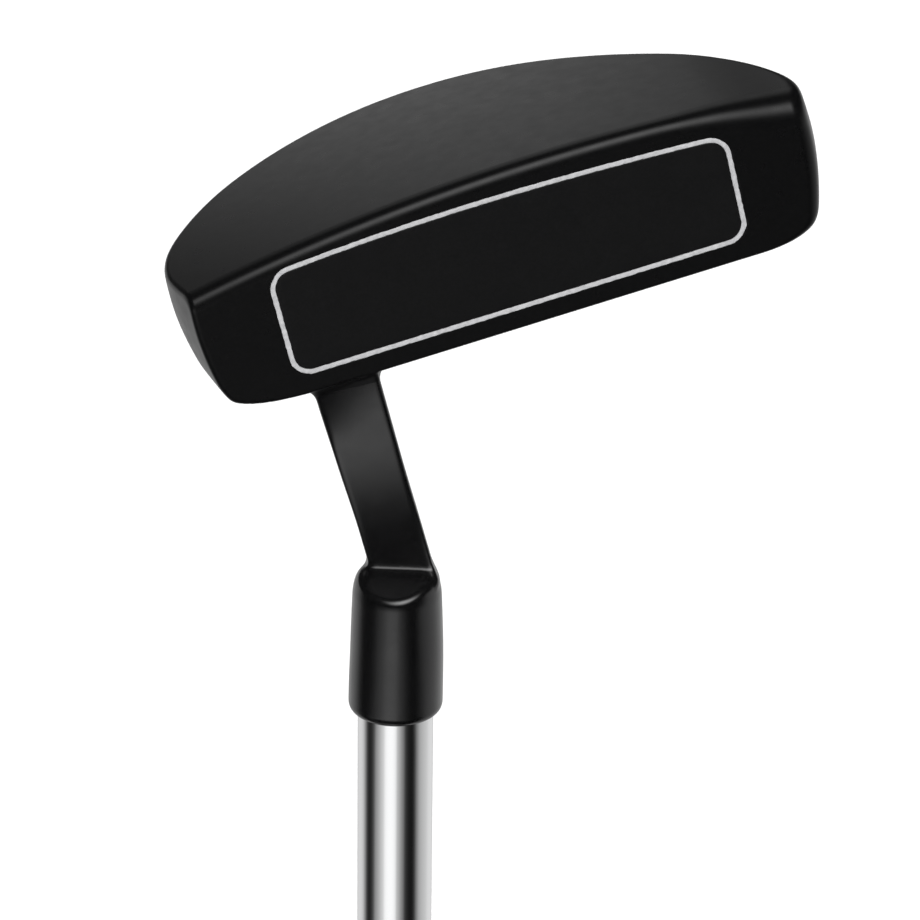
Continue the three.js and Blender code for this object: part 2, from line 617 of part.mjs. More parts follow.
function gripSleeve() {
  const bore = toSolid(rod(SHAFT_BUTT_RADIUS + GRIP_TAPE + 0.1, CAP_HEIGHT - 1, GRIP_LENGTH + 1, 40));
  let sleeve = gripSkin(0, CAP_HEIGHT, GRIP_LENGTH).subtract(bore);
  for (const z of BUTT_RING_Z) sleeve = sleeve.subtract(ring(z, BUTT_RING_HEIGHT, RING_FIT));
  for (const z of MOUTH_RING_Z) sleeve = sleeve.subtract(ring(z, MOUTH_RING_HEIGHT, RING_FIT));
  return sleeve.subtract(badge(RING_FIT));
}

// Rounded end of the grip, with a spigot that closes the tube.
function endCap() {
  const radius = SHAFT_BUTT_RADIUS - SHAFT_WALL - 0.2;
  const spigot = rod(radius, CAP_HEIGHT - 1, CAP_HEIGHT + SPIGOT_LENGTH, 32);
  return gripSkin(0, 0, CAP_HEIGHT, true).add(toSolid(spigot));
}

// Double-sided tape wound on the tube under the grip.
function gripTape() {
  const inner = SHAFT_BUTT_RADIUS + 0.03;
  return pipe(inner, inner + GRIP_TAPE, CAP_HEIGHT + 4, GRIP_LENGTH - 5, 40);
}

// ---------- assembly ----------
const putter = new THREE.Group();
putter.name = 'putter';

const head = new THREE.Group();
head.applyMatrix4(addressMatrix());
putter.add(head);

head.add(piece('head_body', toGeometry(headBody()), LOOKS.blackPaint));

const inside = -TRIM_WIDTH / 2 - FIT;
const padFront = INSERT_DEPTH + FIT;
const trimRing = faceplate(TRIM_WIDTH / 2, 0, TRIM_DEPTH).subtract(
  faceplate(-TRIM_WIDTH / 2, -1, TRIM_DEPTH + 1));
const adhesivePad = faceplate(inside, padFront, padFront + ADHESIVE_DEPTH);
head.add(piece('insert_trim_line', toGeometry(trimRing), LOOKS.trim));
head.add(piece('face_insert', toGeometry(faceplate(inside, 0, INSERT_DEPTH)), LOOKS.insert));
head.add(piece('insert_adhesive_pad', toGeometry(adhesivePad), LOOKS.adhesive));

const centreLine = sightStrip(HEAD_MIDDLE, true, 0, FLANGE_REAR);
head.add(piece('sight_line_centre', toGeometry(centreLine), LOOKS.whitePaint));
head.add(piece('sight_line_toe', toGeometry(outerSight(1, 0)), LOOKS.whitePaint));
head.add(piece('sight_line_heel', toGeometry(outerSight(-1, 0)), LOOKS.whitePaint));
for (const end of ['toe', 'heel']) {
  head.add(piece(`edge_line_${end}`, toGeometry(edgeTube(end, EDGE_LINE_RADIUS)), LOOKS.greyPaint));
}
head.add(piece('topline_mark', topMark(0), LOOKS.whitePaint));

putter.add(piece('shaft_tube', shaftTube(), LOOKS.chrome));
putter.add(piece('shaft_tip_plug', tipPlug(), LOOKS.plug));
putter.add(piece('hosel_epoxy', epoxySleeve(), LOOKS.adhesive));

putter.add(piece('grip_sleeve', toGeometry(gripSleeve()), LOOKS.rubber));
putter.add(piece('grip_end_cap', toGeometry(endCap()), LOOKS.rubber));
putter.add(piece('grip_tape', gripTape(), LOOKS.tape));
putter.add(piece('grip_badge_outline', toGeometry(badge(0)), LOOKS.greyPaint));
BUTT_RING_Z.forEach((z, i) => {
  const solid = ring(z, BUTT_RING_HEIGHT, 0);
  putter.add(piece(`grip_butt_ring_${i + 1}`, toGeometry(solid), LOOKS.greyPaint));
});
MOUTH_RING_Z.forEach((z, i) => {
  const solid = ring(z, MOUTH_RING_HEIGHT, 0);
  putter.add(piece(`grip_mouth_ring_${i + 1}`, toGeometry(solid), LOOKS.whitePaint));
});

export default putter;
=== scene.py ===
"""Looks of a semi-mallet putter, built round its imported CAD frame.

Shapes of the head are drawn in millimetres in the head's address frame: x to the toe, b
backwards from the shaft axis, z up from the ground. to_row() brings them into the row frame,
in metres, where the shaft axis is Z and the butt of the grip is the origin.
"""
import math

import bmesh
import bpy
import numpy as np
from mathutils import Matrix, Vector


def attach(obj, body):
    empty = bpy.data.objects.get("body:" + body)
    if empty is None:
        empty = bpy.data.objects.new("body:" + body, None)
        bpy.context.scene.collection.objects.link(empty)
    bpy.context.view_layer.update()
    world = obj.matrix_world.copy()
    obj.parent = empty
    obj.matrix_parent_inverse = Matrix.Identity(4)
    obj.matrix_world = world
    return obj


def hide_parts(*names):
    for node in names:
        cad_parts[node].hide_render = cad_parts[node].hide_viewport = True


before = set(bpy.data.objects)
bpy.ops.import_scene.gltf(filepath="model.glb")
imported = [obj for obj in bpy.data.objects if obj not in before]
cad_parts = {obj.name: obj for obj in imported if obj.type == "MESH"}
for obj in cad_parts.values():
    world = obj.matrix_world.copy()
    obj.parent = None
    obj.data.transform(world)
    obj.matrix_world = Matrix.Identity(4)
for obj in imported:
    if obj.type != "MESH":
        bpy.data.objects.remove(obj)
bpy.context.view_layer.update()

MM = 0.001

# ---------- driving dimensions, in millimetres and radians ----------
CLUB_LENGTH = 889.0
LIE = math.radians(75.7)
LOFT = math.radians(3.0)
# head
HEAD_MIDDLE = 14.0
HEAD_REACH = 47.5
FACE_SETBACK = 0.64
FACE_HEIGHT = 26.4
TOPLINE_DEPTH = 3.5
HEAD_DEPTH = 44.0
SOLE_RADIUS = 300.0
SOLE_LOW_X = 23.0
SOLE_REAR_RISE = 1.8
SOLE_TOE_RISE = 0.35
SIDE_BULGE_Z = 10.0
SIDE_BULGE = 0.0098
SLOPE_FOOT_BACK = 19.5
SLOPE_FOOT_Z = 6.2
SLOPE_HOLLOW_BACK = 5.2
SLOPE_HOLLOW_Z = 12.0
SLOPE_STEEPNESS = 0.84  # share of a step along b that leads away from the slope
SLAB_FRONT = 8.0  # where the flange starts, inside the wall behind the face
FLANGE_REAR = 43.8
FLANGE_RADIUS = 600.0
FLANGE_CREST_X = 20.0
FLANGE_FALL = math.radians(3.5)
POCKET_DEPTH = 1.6
POCKET_SETBACK = 0.6  # gap between the painted line on the slope and the pocket
RIM_WIDTH = 2.8
PLATFORM_HALF = 18.0
# Rear outline of the head in plan, x and b, from the toe end of the face to the heel end.
PLAN = [(61.2, 0.6), (62.6, 8.6), (57, 19.9), (42.8, 32), (25, 41.5),
        (8, HEAD_DEPTH + FACE_SETBACK - 0.05), (-8, 42.2), (-22.6, 34.6), (-32.2, 23.5), (-35.1, 13),
        (-33.2, 1)]
PLAN_MIDDLE = (HEAD_MIDDLE, 4.0)
FRONT_MIDDLE = (HEAD_MIDDLE, 13.0)
# face insert and painted lines
INSERT_HALF = 34.9
INSERT_TOP = 22.6
INSERT_LOW = 4.1
INSERT_LOW_X = -4.0
INSERT_LOW_RISE = 1.4
INSERT_CORNER = 2.9
INSERT_DEPTH = 2.4
TRIM_WIDTH = 0.72
TRIM_PROUD = 0.07
SIGHT_PITCH = 9.7
SIGHT_WIDTH = 1.9
SIGHT_FOOT = 7.6
SIGHT_FOOT_HALF = 0.65  # half the foot's width
SIGHT_CLIMB = 3.4  # how far the centre line climbs the slope
SIGHT_LOW = 2.6  # no groove goes lower on the rear edge
PAINT_LOW = 2.4  # and no paint lower than this
NOTCH_HALF = (0.8, 1.1)  # half sizes of the mark on the topline, along x and b
NOTCH_INSET = 1.8  # its middle, forward of the topline's rear edge
NOTCH_DEPTH = 1.5
GROOVE_DEPTH = 0.5
PAINT_DEPTH = 0.5
PAINT_OVERLAP = 0.04  # paint reaches this far into the sides of its groove
EDGE_RISE = 1.1
EDGE_REACH = {"toe": 44.6, "heel": 46.6}
EDGE_LINE_RADIUS = 0.5
# neck and hosel
RIM_TO_SOLE = 82.5
NECK_X = -13.7
NECK_WIDTH = 9.6
NECK_SHIFT = 0.33  # how far it shifts to the toe midway
NECK_FLARE = 0.3  # how much wider it is at its foot, on the heel side
NECK_TAPER = 0.3  # and how much narrower near the hosel, on the toe side
NECK_FOOT = FACE_HEIGHT + 1
NECK_TOP = 60.0
NECK_ROOT = 12.0
NECK_TURN = 0.24  # how far its front turns towards the heel, mm per mm
NECK_ROOT_TURN = 0.6  # share of that turn at its foot
NECK_SIDE_TURN = 0.08  # how far its sides turn, mm per mm
NECK_FRONT_B = 2.65  # front of the neck at its foot, behind the shaft axis
NECK_FRONT_RISE = 0.07  # how it runs on, mm per mm
NECK_FRONT_CURVE = 0.00675  # and curves forward, mm per mm squared
NECK_FRONT_LEAN = 0.3  # forward lean, above the face, of the plane that trims its front
HOSEL_RIM_RADIUS = 7.15
HOSEL_LENGTH = 23.7
HOSEL_TAPER = 0.00115  # narrowing of the barrel, mm per mm squared from the rim
HOSEL_SHOULDER = 0.8  # and at the shoulder
HOSEL_LEAN = 0.15  # how far its upper part leans to the toe
LEDGE_FRONT = 21.4  # height of the ledge's front edge above the rim
LEDGE_SLOPE = 0.47
LEDGE_TILT = 0.06
SOCKET_RADIUS = 5.95
SOCKET_DEPTH = 14.0
# roundings, as the width over which two surfaces blend
RIDGE_ROUNDING = 2.6  # between sole and face
TOE_ROUNDING = 2.4  # and what is added to it at the toe
END_ROUNDING = 0.8  # round the head's outline
TOE_END_ROUNDING = 0.9  # and what is added to it at the toe end
CRISP = 0.6
TOPLINE_ROUNDING = 0.9
SLOPE_FOOT_ROUNDING = 2.4
POCKET_ROUNDING = {"corner": 2.2, "end": 1.6, "floor": 1.0, "lip": 0.7}
NECK_ROUNDING = 0.9
ROOT_ROUNDING = (0.4, 2.4)  # neck to head: in the face plane, and what is added behind it
BARREL_ROUNDING = {"rim": 1.6, "top": 2.4, "neck": 1.2}
# shaft and grip
SHAFT_TIP_RADIUS = 5.75
SHAFT_BUTT_RADIUS = 7.2
SHAFT_WALL = 0.6
SHAFT_STEPS = 8
SHAFT_STEP_LENGTH = 1.2
SHAFT_STEP_MARGIN = 60.0
GRIP_LENGTH = 257.0
GRIP_TAPE = 0.4
CAP_HEIGHT = 3.0
BUTT_RING_Z = [3.0, 5.5]
BUTT_RING_HEIGHT = 2.0
MOUTH_RING_Z = [243.1, 245.1]
MOUTH_RING_HEIGHT = 1.6
RING_DEPTH = 0.6
BADGE_Z = 116.5
BADGE_HALF_HEIGHT = 23.0
BADGE_HALF_WIDTH = 7.0
BADGE_LINE = 1.0
TREAD_RUN = (14.0, 236.0)  # heights between which the sides and back of the grip are grooved
TREAD_PITCH = 4.6
TREAD_DEPTH = 0.32
# Grip sections: height, then half sizes to the flat front (toe side), to the back and sideways.
GRIP_STATIONS = [
    (0, 13.2, 14.2, 13.4), (9, 14.0, 15.6, 14.48), (20, 13.9, 15.1, 14.2), (60, 13.4, 12.9, 13.0),
    (105, 12.7, 11.3, 12.0), (150, 11.5, 10.5, 11.3), (200, 11.1, 10.2, 10.8), (222, 10.9, 9.9, 10.5),
    (243, 8.9, 8.9, 8.9), (GRIP_LENGTH, 8.1, 8.1, 8.1)]
GRIP_FLATNESS = 0.62

RIM_Z = CLUB_LENGTH - RIM_TO_SOLE
SEED = 7

# Grids that the solids are drawn on: their cells, and the two boxes that hold the casting.
VOXEL = 0.34
HEAD_EXTENT = ((-36.6, 64.6), (-1.5, 46.0), (-0.9, 30.5))
STEM_EXTENT = ((-30.5, -4.0), (-8.2, 15.0), (30.0, 84.6))
PAINT_VOXEL = 0.2
NOTCH_VOXEL = 0.1
SETTLE_ROUNDS = 3  # moves that bring the net onto the surface
GRIP_ANGLES = np.linspace(-math.pi, math.pi, 288, endpoint=False)


# ---------- numbers along curves ----------
def catmull_rom(points, steps):
    """A smooth open curve through the points."""
    points = np.array(points, float)
    padded = np.vstack([points[0], points, points[-1]])
    t = np.linspace(0, 1, steps, endpoint=False)[:, None]
    out = []
    for p0, p1, p2, p3 in zip(padded, padded[1:], padded[2:], padded[3:]):
        v0, v1 = (p2 - p0) / 2, (p3 - p1) / 2
        out.append((2 * p1 - 2 * p2 + v0 + v1) * t**3 + (3 * p2 - 3 * p1 - 2 * v0 - v1) * t**2
                   + v0 * t + p1)
    return np.vstack([*out, points[-1]])


def bezier(points, steps=48):
    """A Bezier curve of any order."""
    level = [np.array(p, float)[None, :] for p in points]
    t = np.linspace(0, 1, steps)[:, None]
    while len(level) > 1:
        level = [a * (1 - t) + b * t for a, b in zip(level, level[1:])]
    return level[0]


def smooth_min(a, b, k):
    """The lesser of two fields, with a fillet about k wide where they meet."""
    h = np.maximum(k - np.abs(a - b), 0) / k
    return np.minimum(a, b) - h * h * k / 4


def smooth_max(a, b, k):
    return -smooth_min(-a, -b, k)


def smoothstep(low, high, value):
    t = np.clip((value - low) / (high - low), 0, 1)
    return t * t * (3 - 2 * t)


def table(points, key, value):
    """Dense curve points as a function that gives column value at column key."""
    order = np.argsort(points[:, key])
    xs, ys = points[order, key], points[order, value]
    return lambda q: np.interp(q, xs, ys)


class Polar:
    """A closed outline round a middle point, as a radius for each direction."""

    def __init__(self, outline, middle, soften):
        d = np.array(outline, float) - middle
        angle = np.arctan2(d[:, 1], d[:, 0])
        order = np.argsort(angle)
        angle, radius = angle[order], np.hypot(d[order, 0], d[order, 1])
        self.middle = middle
        self.angles = np.linspace(-math.pi, math.pi, 2881)
        r = np.interp(self.angles, np.concatenate([angle - 2 * math.pi, angle, angle + 2 * math.pi]),
                      np.tile(radius, 3))
        width = max(1, round(math.radians(soften) / (self.angles[1] - self.angles[0])))
        kernel = np.hanning(2 * width + 3)[1:-1]
        ring = np.concatenate([r[:-1], r[:-1], r])
        ring = np.convolve(ring, kernel / kernel.sum(), "same")
        self.radius = ring[len(r) - 1:2 * len(r) - 1]
        self.stretch = np.sqrt(1 + (np.gradient(self.radius, self.angles) / self.radius) ** 2)

    def field(self, x, y):
        dx, dy = x - self.middle[0], y - self.middle[1]
        angle = np.arctan2(dy, dx)
        radius = np.interp(angle, self.angles, self.radius)
        return (np.hypot(dx, dy) - radius) / np.interp(angle, self.angles, self.stretch)


# ---------- the head as a field: negative inside, in millimetres ----------
def face_back(z):
    return FACE_SETBACK + z * math.tan(LOFT)


def flange_top(x, b):
    return SLOPE_FOOT_Z + (x - FLANGE_CREST_X) ** 2 / (2 * FLANGE_RADIUS) - (
        b - SLOPE_FOOT_BACK) * math.tan(FLANGE_FALL)


def plan_outline():
    rear = catmull_rom(PLAN, 40)
    return np.vstack([[rear[0, 0], -4], rear, [rear[-1, 0], -4],
                      np.column_stack([np.linspace(rear[-1, 0], rear[0, 0], 60), np.full(60, -4.0)])])


def front_outline():
    """The head's rounded corners as seen from the front: x and z."""
    runs = [[(62.2, -6), (62.3, 2), (62.9, 7.5)], [(62.9, 7.5), (64, 14), (62.8, 19.5)],
            [(62.8, 19.5), (60.6, FACE_HEIGHT), (51, FACE_HEIGHT)], [(51, FACE_HEIGHT), (-20, FACE_HEIGHT)],
            [(-20, FACE_HEIGHT), (-29.6, 25.6), (-31.4, 23.4)], [(-31.4, 23.4), (-36, 17)],
            [(-36, 17), (-44, 6), (-44, -6)], [(-44, -6), (62.2, -6)]]
    return np.vstack([bezier(run, 60) for run in runs])


NOTCH_B = face_back(FACE_HEIGHT) + TOPLINE_DEPTH - NOTCH_INSET
# The hollow back slope, from the topline to the flange, run on past both of its ends.
SLOPE_START = (face_back(FACE_HEIGHT) + TOPLINE_DEPTH + 0.2, FACE_HEIGHT - 0.7)
SLOPE = bezier([SLOPE_START, (SLOPE_START[0] + SLOPE_HOLLOW_BACK, SLOPE_HOLLOW_Z),
                (SLOPE_FOOT_BACK, SLOPE_FOOT_Z)], 200)
FOOT_RUN = (SLOPE_FOOT_BACK - SLOPE_START[0] - SLOPE_HOLLOW_BACK) / (SLOPE_HOLLOW_Z - SLOPE_FOOT_Z)
SLOPE_LONG = np.vstack([SLOPE, [SLOPE_FOOT_BACK + 8 * FOOT_RUN, SLOPE_FOOT_Z - 8],
                        [SLOPE_START[0] - 0.6, FACE_HEIGHT + 2]])
slope_back = table(SLOPE_LONG, 1, 0)
PLAN_FIELD = Polar(plan_outline(), PLAN_MIDDLE, 1.2)
FRONT_FIELD = Polar(front_outline(), FRONT_MIDDLE, 0.6)
# Rear of the neck, b and z, from inside the head to inside the hosel.
NECK_REAR = np.vstack([bezier([(12.5, NECK_ROOT), (10.2, 20), (9.8, NECK_FOOT)]),
                       bezier([(9.8, NECK_FOOT), (9.6, 38), (7.4, 46), (6.4, 54)]),
                       [6.2, NECK_TOP + 9]])
neck_rear = table(NECK_REAR, 1, 0)


def neck_front(z):
    up = np.maximum(z - NECK_FOOT, -4)
    return NECK_FRONT_B + NECK_FRONT_RISE * up - NECK_FRONT_CURVE * up * np.abs(up)


def ledge(b):
    """Height of the sloping ledge above the rim."""
    return LEDGE_FRONT + LEDGE_SLOPE * (b + HOSEL_RIM_RADIUS - 0.6)


def edge_path(end, steps=64):
    """The thin painted line along the foot of the back slope: x, b, z."""
    side = 1 if end == "toe" else -1
    along = np.linspace(0, 1, steps)
    start = PLATFORM_HALF + 1.2
    x = HEAD_MIDDLE + side * (start + (EDGE_REACH[end] - start) * along)
    z = flange_top(x, SLOPE_FOOT_BACK - 1) + EDGE_RISE * np.sin(math.pi * along**1.3)
    return np.column_stack([x, slope_back(z), z])


edge_back = table(np.vstack([edge_path("heel"), edge_path("toe")]), 0, 1)


def insert_field(x, z, grow):
    """Outline of the face insert on the face plane: straight top, curved lower edge."""
    t = np.clip((x / INSERT_HALF + 1) / 2, 0, 1)
    lean = INSERT_LOW_X / INSERT_HALF / 2
    t = t - lean * 2 * t * (1 - t)
    low = INSERT_LOW + INSERT_LOW_RISE * (2 * t - 1) ** 2
    corner = INSERT_CORNER + grow
    dx = np.abs(x) - (INSERT_HALF + grow) + corner
    dz = np.maximum(z - INSERT_TOP, low - z) - grow + corner
    return np.hypot(np.maximum(dx, 0), np.maximum(dz, 0)) + np.minimum(np.maximum(dx, dz), 0) - corner


def on_face(b, z):
    """Depth behind the face plane, and height along it."""
    behind = b - FACE_SETBACK
    return behind * math.cos(LOFT) - z * math.sin(LOFT), behind * math.sin(LOFT) + z * math.cos(LOFT)


def row_axes(x, z):
    """Row X, and distance from the hosel's rim towards the head, for address x and z."""
    across = x * math.sin(LIE) + z * math.cos(LIE)
    height = CLUB_LENGTH + x * math.cos(LIE) - z * math.sin(LIE)
    return across, height - RIM_Z


def plan_field(x, b, z):
    narrowing = SIDE_BULGE * (z - SIDE_BULGE_Z) ** 2
    return PLAN_FIELD.field(HEAD_MIDDLE + (x - HEAD_MIDDLE) / (1 - narrowing / HEAD_REACH), b)


def hollow_head(x, b, z):
    """Head without the neck: face, topline, hollow slope, flange with its pockets, and sole."""
    plan = plan_field(x, b, z)
    face = (face_back(z) - b) * math.cos(LOFT)
    slope = (b - slope_back(z)) * SLOPE_STEEPNESS
    wall = smooth_max(smooth_max(face, slope, CRISP), z - FACE_HEIGHT, TOPLINE_ROUNDING)
    top = flange_top(x, b)
    body = smooth_min(wall, smooth_max(z - top, SLAB_FRONT - b, CRISP), SLOPE_FOOT_ROUNDING)
    side = np.abs(x - HEAD_MIDDLE)
    pocket = smooth_max(plan + RIM_WIDTH, edge_back(x) + POCKET_SETBACK - b,
                        POCKET_ROUNDING["corner"])
    pocket = smooth_max(pocket, PLATFORM_HALF - side, POCKET_ROUNDING["end"])
    pocket = smooth_max(pocket, top - POCKET_DEPTH - z, POCKET_ROUNDING["floor"])
    body = smooth_max(body, -pocket, POCKET_ROUNDING["lip"])
    along = np.maximum(b - FACE_SETBACK, 0) / HEAD_DEPTH
    sole = np.hypot(x - SOLE_LOW_X, z - SOLE_RADIUS) - SOLE_RADIUS + SOLE_REAR_RISE * along**2
    sole += SOLE_TOE_RISE * smoothstep(48, 60, x)
    ridge = smooth_max(face, sole, RIDGE_ROUNDING + TOE_ROUNDING * smoothstep(38, 62, x))
    body = np.maximum(body, ridge)
    outline = smooth_max(plan, FRONT_FIELD.field(x, z), 1.0)
    return smooth_max(body, outline, END_ROUNDING + TOE_END_ROUNDING * smoothstep(50, 61, x))


def cut_grooves(body, x, b, z):
    """Shallow grooves for the sight lines on top of the flange and the mark on the topline."""
    skin = -GROOVE_DEPTH - body
    offset = x - HEAD_MIDDLE
    outer_offset = np.abs(np.abs(offset) - SIGHT_PITCH)
    half = SIGHT_WIDTH / 2
    centre = np.maximum(np.abs(offset) - half, SLOPE_FOOT_BACK - SIGHT_CLIMB - b)
    outer = np.maximum(outer_offset - half, SLOPE_FOOT_BACK - b)
    foot = np.maximum(np.abs(np.abs(offset) - SIGHT_PITCH - SIGHT_FOOT / 2) - SIGHT_FOOT / 2,
                      np.abs(b - SLOPE_FOOT_BACK - SIGHT_FOOT_HALF) - SIGHT_FOOT_HALF)
    lines = np.maximum(np.minimum(np.minimum(centre, outer), foot), b - FLANGE_REAR)
    lines = np.maximum(lines, SIGHT_LOW - z)
    mark = np.maximum(np.maximum(np.abs(offset) - NOTCH_HALF[0], np.abs(b - NOTCH_B) - NOTCH_HALF[1]),
                      FACE_HEIGHT - NOTCH_DEPTH - z)
    return smooth_max(body, -np.maximum(np.minimum(lines, mark), skin), 0.22)


def neck_field(x, b, z):
    """The bar between head and hosel, with the same point's b as its turned front sees it."""
    front, rear = neck_front(z), neck_rear(z)
    waist = NECK_SHIFT * smoothstep(39, 51, z)
    heel_side = waist - NECK_FLARE * (1 - smoothstep(28, 42, z))
    toe_side = waist - NECK_TAPER * smoothstep(38, 50, z)
    aside = x - NECK_X - (heel_side + toe_side) / 2
    turn = NECK_TURN * (NECK_ROOT_TURN + (1 - NECK_ROOT_TURN) * smoothstep(24, 37, z))
    turned = b + turn * aside
    neck = smooth_max(front - turned, turned - rear, NECK_ROUNDING)
    across_neck = aside - NECK_SIDE_TURN * (b - (front + rear) / 2)
    half = (NECK_WIDTH + toe_side - heel_side) / 2
    neck = smooth_max(neck, np.abs(across_neck) - half, NECK_ROUNDING)
    return smooth_max(neck, smooth_max(NECK_ROOT - z, z - NECK_TOP, 1), 1), turned


def barrel_field(across, b, d):
    """The hosel's barrel, a little narrower and leaning to the toe towards the head."""
    radius = HOSEL_RIM_RADIUS + 0.02 - HOSEL_TAPER * d * np.abs(d)
    radius = radius - HOSEL_SHOULDER * smoothstep(19.5, 25.5, d)
    lean = HOSEL_LEAN * smoothstep(0, 12, d)
    barrel = smooth_max(np.hypot(across - lean, b) - radius, -d, BARREL_ROUNDING["rim"])
    return smooth_max(barrel, d - HOSEL_LENGTH, BARREL_ROUNDING["top"])


def head_field(x, b, z):
    """The whole casting: head, neck and hosel, with the insert's recess and the shaft's socket."""
    body = cut_grooves(hollow_head(x, b, z), x, b, z)
    across, d = row_axes(x, z)
    neck, turned = neck_field(x, b, z)
    stem = smooth_min(neck, barrel_field(across, b, d), BARREL_ROUNDING["neck"])
    shelf = (ledge(turned) - d + LEDGE_TILT * across) * 0.9
    stem = smooth_max(stem, -smooth_max(shelf, turned - neck_front(z), 0.25), CRISP)
    behind_face = smoothstep(0.2, 2.4, b - face_back(z))
    body = smooth_min(body, stem, ROOT_ROUNDING[0] + ROOT_ROUNDING[1] * behind_face)
    lean = NECK_FRONT_LEAN * np.maximum(z - FACE_HEIGHT, 0)
    body = np.maximum(body, (face_back(np.minimum(z, FACE_HEIGHT)) - lean - b) * math.cos(LOFT))
    depth, up = on_face(b, z)
    recess = np.maximum(insert_field(x - HEAD_MIDDLE, up, TRIM_WIDTH / 2 - 0.08),
                        depth - INSERT_DEPTH - 0.6)
    body = smooth_max(body, -recess, 0.1)
    socket = np.maximum(np.hypot(across, b) - SOCKET_RADIUS, d - SOCKET_DEPTH)
    return smooth_max(body, -socket, 0.3)


def to_row(points):
    """Address frame in millimetres (x, b, z) to the row frame in metres."""
    x, b, z = np.asarray(points, float).T
    across, d = row_axes(x, z)
    return np.column_stack([across, b, d + RIM_Z]) * MM


def turn_to_row(vectors):
    """Directions in the address frame (x, b, z) to the row frame."""
    x, b, z = np.asarray(vectors, float).T
    return np.column_stack([x * math.sin(LIE) + z * math.cos(LIE), b,
                            x * math.cos(LIE) - z * math.sin(LIE)])


# ---------- from field to mesh ----------
def surface_net(field, low, step):
    """Vertices and quads of the zero surface of a field on a grid, one vertex to a cell."""
    inside = field < 0
    shape = np.array(field.shape)
    cells = tuple(shape - 1)
    total = np.zeros(cells + (3,), np.float32)
    count = np.zeros(cells, np.float32)
    corners = [(i, j, k) for i in (0, 1) for j in (0, 1) for k in (0, 1)]

    def view(array, corner):
        return array[tuple(slice(c, c + n) for c, n in zip(corner, cells))]

    for axis in range(3):
        for corner in corners:
            if corner[axis]:
                continue
            other = tuple(c + (a == axis) for a, c in enumerate(corner))
            f0, f1 = view(field, corner), view(field, other)
            hit = view(inside, corner) != view(inside, other)
            share = f0[hit] / (f0[hit] - f1[hit])
            point = np.tile(np.array(corner, np.float32), (len(share), 1))
            point[:, axis] += share
            total[hit] += point
            count[hit] += 1
    used = count > 0
    index = np.full(cells, -1, np.int64)
    index[used] = np.arange(used.sum())
    base = np.argwhere(used)
    verts = low + step * (base + total[used] / count[used][:, None])
    quads = []
    for axis in range(3):
        u, v = (axis + 1) % 3, (axis + 2) % 3
        span = [slice(1, n) for n in cells]
        span[axis] = slice(0, cells[axis])
        start = inside[tuple(slice(s.start, s.stop) for s in span)]
        span_end = list(span)
        span_end[axis] = slice(1, cells[axis] + 1)
        end = inside[tuple(span_end)]
        where = np.argwhere(start != end) + [s.start for s in span]
        rising = start[start != end]
        ring = []
        for du, dv in ((1, 1), (0, 1), (0, 0), (1, 0)):
            cell = where.copy()
            cell[:, u] -= du
            cell[:, v] -= dv
            ring.append(index[tuple(cell.T)])
        quad = np.stack(ring, 1)
        quad[rising] = quad[rising][:, ::-1]
        quads.append(quad)
    return verts, np.vstack(quads)


def gradient(function, points, reach=0.02):
    out = np.empty_like(points)
    for axis in range(3):
        offset = np.zeros(3)
        offset[axis] = reach
        ahead, behind = points + offset, points - offset
        out[:, axis] = (function(*ahead.T) - function(*behind.T)) / (2 * reach)
    return out


def settle(field, verts, voxel):
    """The move that brings each vertex onto the field's zero surface, held to part of a cell."""
    slope = gradient(field, verts)
    size = np.maximum((slope**2).sum(1), 0.25)
    move = slope * (field(*verts.T) / size)[:, None]
    reach = np.linalg.norm(move, axis=1)[:, None]
    return move * np.minimum(1, 0.3 * voxel / np.maximum(reach, 1e-9))


def mesh_object(name, verts, faces, normals=None):
    mesh = bpy.data.meshes.new(name)
    mesh.from_pydata(verts.tolist() if hasattr(verts, "tolist") else verts, [],
                     faces.tolist() if hasattr(faces, "tolist") else faces)
    mesh.validate()
    mesh.update()
    obj = bpy.data.objects.new(name, mesh)
    bpy.context.scene.collection.objects.link(obj)
    for polygon in mesh.polygons:
        polygon.use_smooth = True
    if normals is not None:
        mesh.normals_split_custom_set_from_vertices(normals.tolist())
    return obj


def ring_mesh(name, rings, closed=False, sharp=30):
    """Rings of equal counts joined into a tube: capped at both ends, or closed on itself."""
    count, size = len(rings), len(rings[0])
    verts = np.vstack(rings)
    faces = []
    for i in range(count if closed else count - 1):
        a, b = i * size, ((i + 1) % count) * size
        faces += [(a + j, a + (j + 1) % size, b + (j + 1) % size, b + j) for j in range(size)]
    if not closed:
        faces.append(tuple(reversed(range(size))))
        faces.append(tuple(range((count - 1) * size, count * size)))
    obj = mesh_object(name, verts, faces)
    tidy_normals(obj, sharp)
    return obj


def tidy_normals(obj, sharp):
    mesh = bmesh.new()
    mesh.from_mesh(obj.data)
    bmesh.ops.recalc_face_normals(mesh, faces=mesh.faces)
    mesh.to_mesh(obj.data)
    mesh.free()
    obj.data.set_sharp_from_angle(angle=math.radians(sharp))


